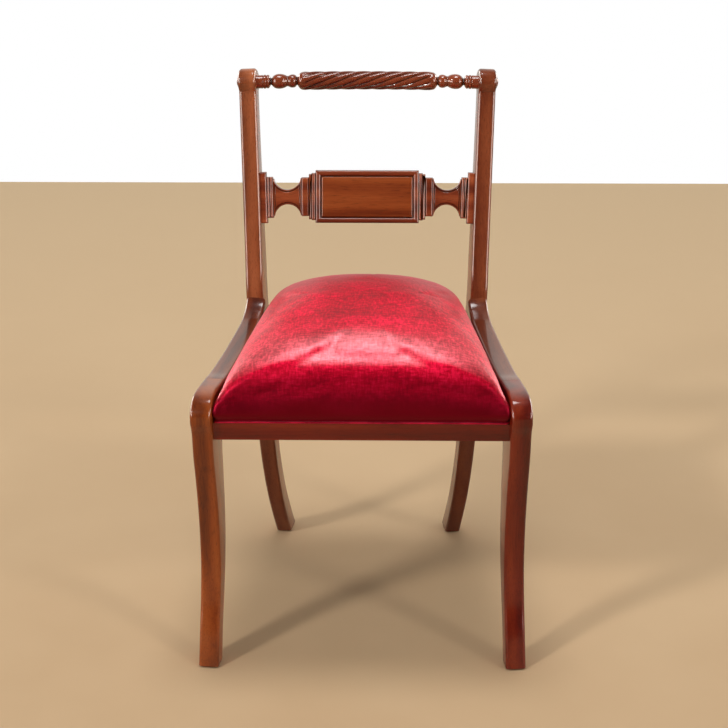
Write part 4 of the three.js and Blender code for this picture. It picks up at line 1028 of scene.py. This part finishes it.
# The velvet over its stuffing, blown up as cloth from a smaller shape that is held along its hem
START_PLAN_SHARE, START_HEIGHT_SHARE = 0.982, 0.968
VOXEL, PRESSURE, FRAMES = 0.005, 4.0, 20
CLOTH_LIMIT, REACH = 7.0, 35.0
HELD, FADE_LOW, FADE_HIGH = HEM + 6.0, HEM + 14.0, HEM + 45.0


def blown_up(piece):
    """The simulated surface, as a tree to measure distances to."""
    start = bpy.data.objects.new("cloth_start", piece.data.copy())
    scene.collection.objects.link(start)
    middle = Vector((0, (MIDDLE - SHIFT) * MM, HEM * MM))
    for vert in start.data.vertices:
        away = vert.co - middle
        away = Vector((away.x * START_PLAN_SHARE, away.y * START_PLAN_SHARE, away.z * START_HEIGHT_SHARE))
        vert.co = middle + away
    remesh = start.modifiers.new("remesh", "REMESH")
    remesh.mode = "VOXEL"
    remesh.voxel_size = VOXEL
    data = evaluated(start)
    start.modifiers.clear()
    start.data = data
    held = start.vertex_groups.new(name="hem")
    held.add([v.index for v in data.vertices if v.co.z < HELD * MM], 1.0, "REPLACE")
    cloth = start.modifiers.new("cloth", "CLOTH")
    cloth.settings.use_pressure = True
    cloth.settings.uniform_pressure_force = PRESSURE
    cloth.settings.effector_weights.gravity = 0
    cloth.settings.vertex_group_mass = "hem"
    cloth.point_cache.frame_end = FRAMES
    for number in range(1, FRAMES + 1):
        scene.frame_set(number)
    result = evaluated(start)
    tree = BVHTree.FromPolygons(
        [v.co.copy() for v in result.vertices], [list(p.vertices) for p in result.polygons]
    )
    scene.frame_set(1)
    bpy.data.objects.remove(start)
    return tree


def settle(piece):
    """Moves the fine mesh to the simulated surface, less towards the hem, by no more than a limit."""
    tree = blown_up(piece)
    moves = []
    for vert in piece.data.vertices:
        normal = vert.normal.copy()
        share = min(1.0, max(0.0, (vert.co.z / MM - FADE_LOW) / (FADE_HIGH - FADE_LOW)))
        hit, _, _, _ = tree.ray_cast(vert.co + normal * REACH * MM, -normal, 2 * REACH * MM)
        gap = 0.0 if hit is None else (hit - vert.co).dot(normal)
        moves.append(normal * share * max(-CLOTH_LIMIT * MM, min(CLOTH_LIMIT * MM, gap)))
    for vert, move in zip(piece.data.vertices, moves):
        vert.co += move


cushion = cushion_mesh("seat_cushion")
settle(cushion)
cushion.data.materials.append(velvet("crimson_velvet"))
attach(cushion, "root")
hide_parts("velvet_cover", "seat_pad")


# Floor: pale, with a soft cloudiness, and painted light that makes it lighter towards its far edge
FLOOR_HALF, FLOOR_END = 7, 2.47
FLOOR_TONES = [(0.3, (192, 161, 124)), (0.7, (199, 169, 132))]
FAR_LIGHT_TONE, FAR_RANGE = (219, 191, 153), (-0.5, 2.4)


def pale_floor():
    data = bpy.data.meshes.new("floor")
    near_edge = [(-FLOOR_HALF, -FLOOR_HALF, 0), (FLOOR_HALF, -FLOOR_HALF, 0)]
    far_edge = [(FLOOR_HALF, FLOOR_END, 0), (-FLOOR_HALF, FLOOR_END, 0)]
    data.from_pydata(near_edge + far_edge, [], [(0, 1, 2, 3)])
    floor = bpy.data.objects.new("floor", data)
    scene.collection.objects.link(floor)
    t = Finish("pale_floor")
    near = t.ramp(t.noise(t.place, 3, 3, 0.5), FLOOR_TONES)
    distance = t.span(t.parts(t.place)["Y"], *FAR_RANGE, 0.0, 1.0)
    t.drive("Base Color", t.mix(distance, near, shade(FAR_LIGHT_TONE)))
    t.fix({"Roughness": 0.8, "Specular IOR Level": 0.25})
    data.materials.append(t.material)


# World: white to the camera, soft light on the chair, and in its polish a bright back and side screens
LIGHT_COLOR, LIGHT_STRENGTH = (1.0, 0.985, 0.965, 1), 0.36
MIRRORED_COLOR = (1.0, 0.95, 0.87, 1)
# Where each mirrored part starts and ends along its direction, and its strength at either
BACK_GLOW, SIDE_GLOW, SCREENS = (0.25, 0.7, 0.05, 0.92), (0.55, 0.9, 0.0, 0.5), (0.5, 0.6, 0.0, 11.0)
SCREEN_FOOT, SCREEN_TOP = (0.0, 0.05, 0.0, 1.0), (0.26, 0.36, 1.0, 0.0)


def studio():
    world = bpy.data.worlds.new("studio")
    scene.world = world
    world.use_nodes = True
    sky = Tree(world.node_tree)
    sky.nodes.clear()
    seen = sky.add("ShaderNodeBackground", Color=(1, 1, 1, 1), Strength=1.0)
    lit = sky.add("ShaderNodeBackground", Color=LIGHT_COLOR, Strength=LIGHT_STRENGTH)
    mirrored = sky.add("ShaderNodeBackground", Color=MIRRORED_COLOR)
    toward = sky.parts(sky.nodes.new("ShaderNodeTexCoord").outputs["Generated"])
    behind = sky.span(toward["Y"], *BACK_GLOW)
    across = sky.math("ABSOLUTE", toward["X"])
    beside = sky.span(across, *SIDE_GLOW)
    over_floor = sky.span(toward["Z"], *SCREEN_FOOT)
    screen = sky.product(sky.span(across, *SCREENS), over_floor)
    screen = sky.product(screen, sky.span(toward["Z"], *SCREEN_TOP))
    strength = sky.math("ADD", sky.math("ADD", behind, beside), screen)
    sky.link(strength, mirrored.inputs["Strength"])
    path = sky.nodes.new("ShaderNodeLightPath").outputs
    straight = sky.math("MAXIMUM", path["Is Camera Ray"], path["Is Transmission Ray"])

    def chosen(factor, first, second):
        node = sky.nodes.new("ShaderNodeMixShader")
        for socket, value in zip(node.inputs, (factor, first, second)):
            sky.link(value, socket)
        return node.outputs[0]

    reflection = chosen(path["Is Glossy Ray"], lit.outputs[0], mirrored.outputs[0])
    surface = chosen(straight, reflection, seen.outputs[0])
    sky.link(surface, sky.nodes.new("ShaderNodeOutputWorld").inputs["Surface"])


# Lamps: name, place, what each is aimed at, its width, power and colour
DAYLIGHT = (1.0, 0.98, 0.95)
LAMPS = [
    ("key_left", (-6.0, -5.8, 6.4), (0, 0, 0.4), 1.3, 358, DAYLIGHT),
    ("key_right", (6.2, -5.6, 6.2), (0, 0, 0.4), 1.3, 138, DAYLIGHT),
    ("overhead", (0, 0.1, 4.2), (0, 0.1, 0), 1.4, 72, (1, 1, 1)),
]


def lamp(name, place, aim, width, power, color):
    data = bpy.data.lights.new(name, "AREA")
    data.shape = "DISK"
    data.size = width
    data.energy = power
    data.color = color
    light = bpy.data.objects.new(name, data)
    scene.collection.objects.link(light)
    light.location = place
    light.rotation_euler = (Vector(aim) - Vector(place)).to_track_quat("-Z", "Y").to_euler()


# Camera, at the photograph's place: where it stands, how it is turned, and its focal length in pixels
CAMERA_PLACE = (0.0636, -2.8486, 1.4771)
YAW, PITCH, ROLL = math.radians(1.308), math.radians(20.83), math.radians(-0.198)
FOCAL_PIXELS, PICTURE_PIXELS = 1948.35, 728
SENSOR_WIDTH, CLIP_END = 36.0, 100


def photograph_camera():
    data = bpy.data.cameras.new("camera")
    camera = bpy.data.objects.new("camera", data)
    scene.collection.objects.link(camera)
    data.sensor_width = SENSOR_WIDTH
    data.lens = FOCAL_PIXELS * SENSOR_WIDTH / PICTURE_PIXELS
    data.clip_end = CLIP_END
    forward = Vector((
        -math.sin(YAW) * math.cos(PITCH), math.cos(YAW) * math.cos(PITCH), -math.sin(PITCH),
    ))
    level = Vector((math.cos(YAW), math.sin(YAW), 0))
    upright = level.cross(forward)
    right = math.cos(ROLL) * level + math.sin(ROLL) * upright
    up = math.cos(ROLL) * upright - math.sin(ROLL) * level
    turn = Matrix((right, up, -forward)).transposed().to_4x4()
    camera.matrix_world = Matrix.Translation(CAMERA_PLACE) @ turn
    return camera


pale_floor()
studio()
for settings in LAMPS:
    lamp(*settings)
scene.camera = photograph_camera()
scene.view_settings.view_transform = "Standard"
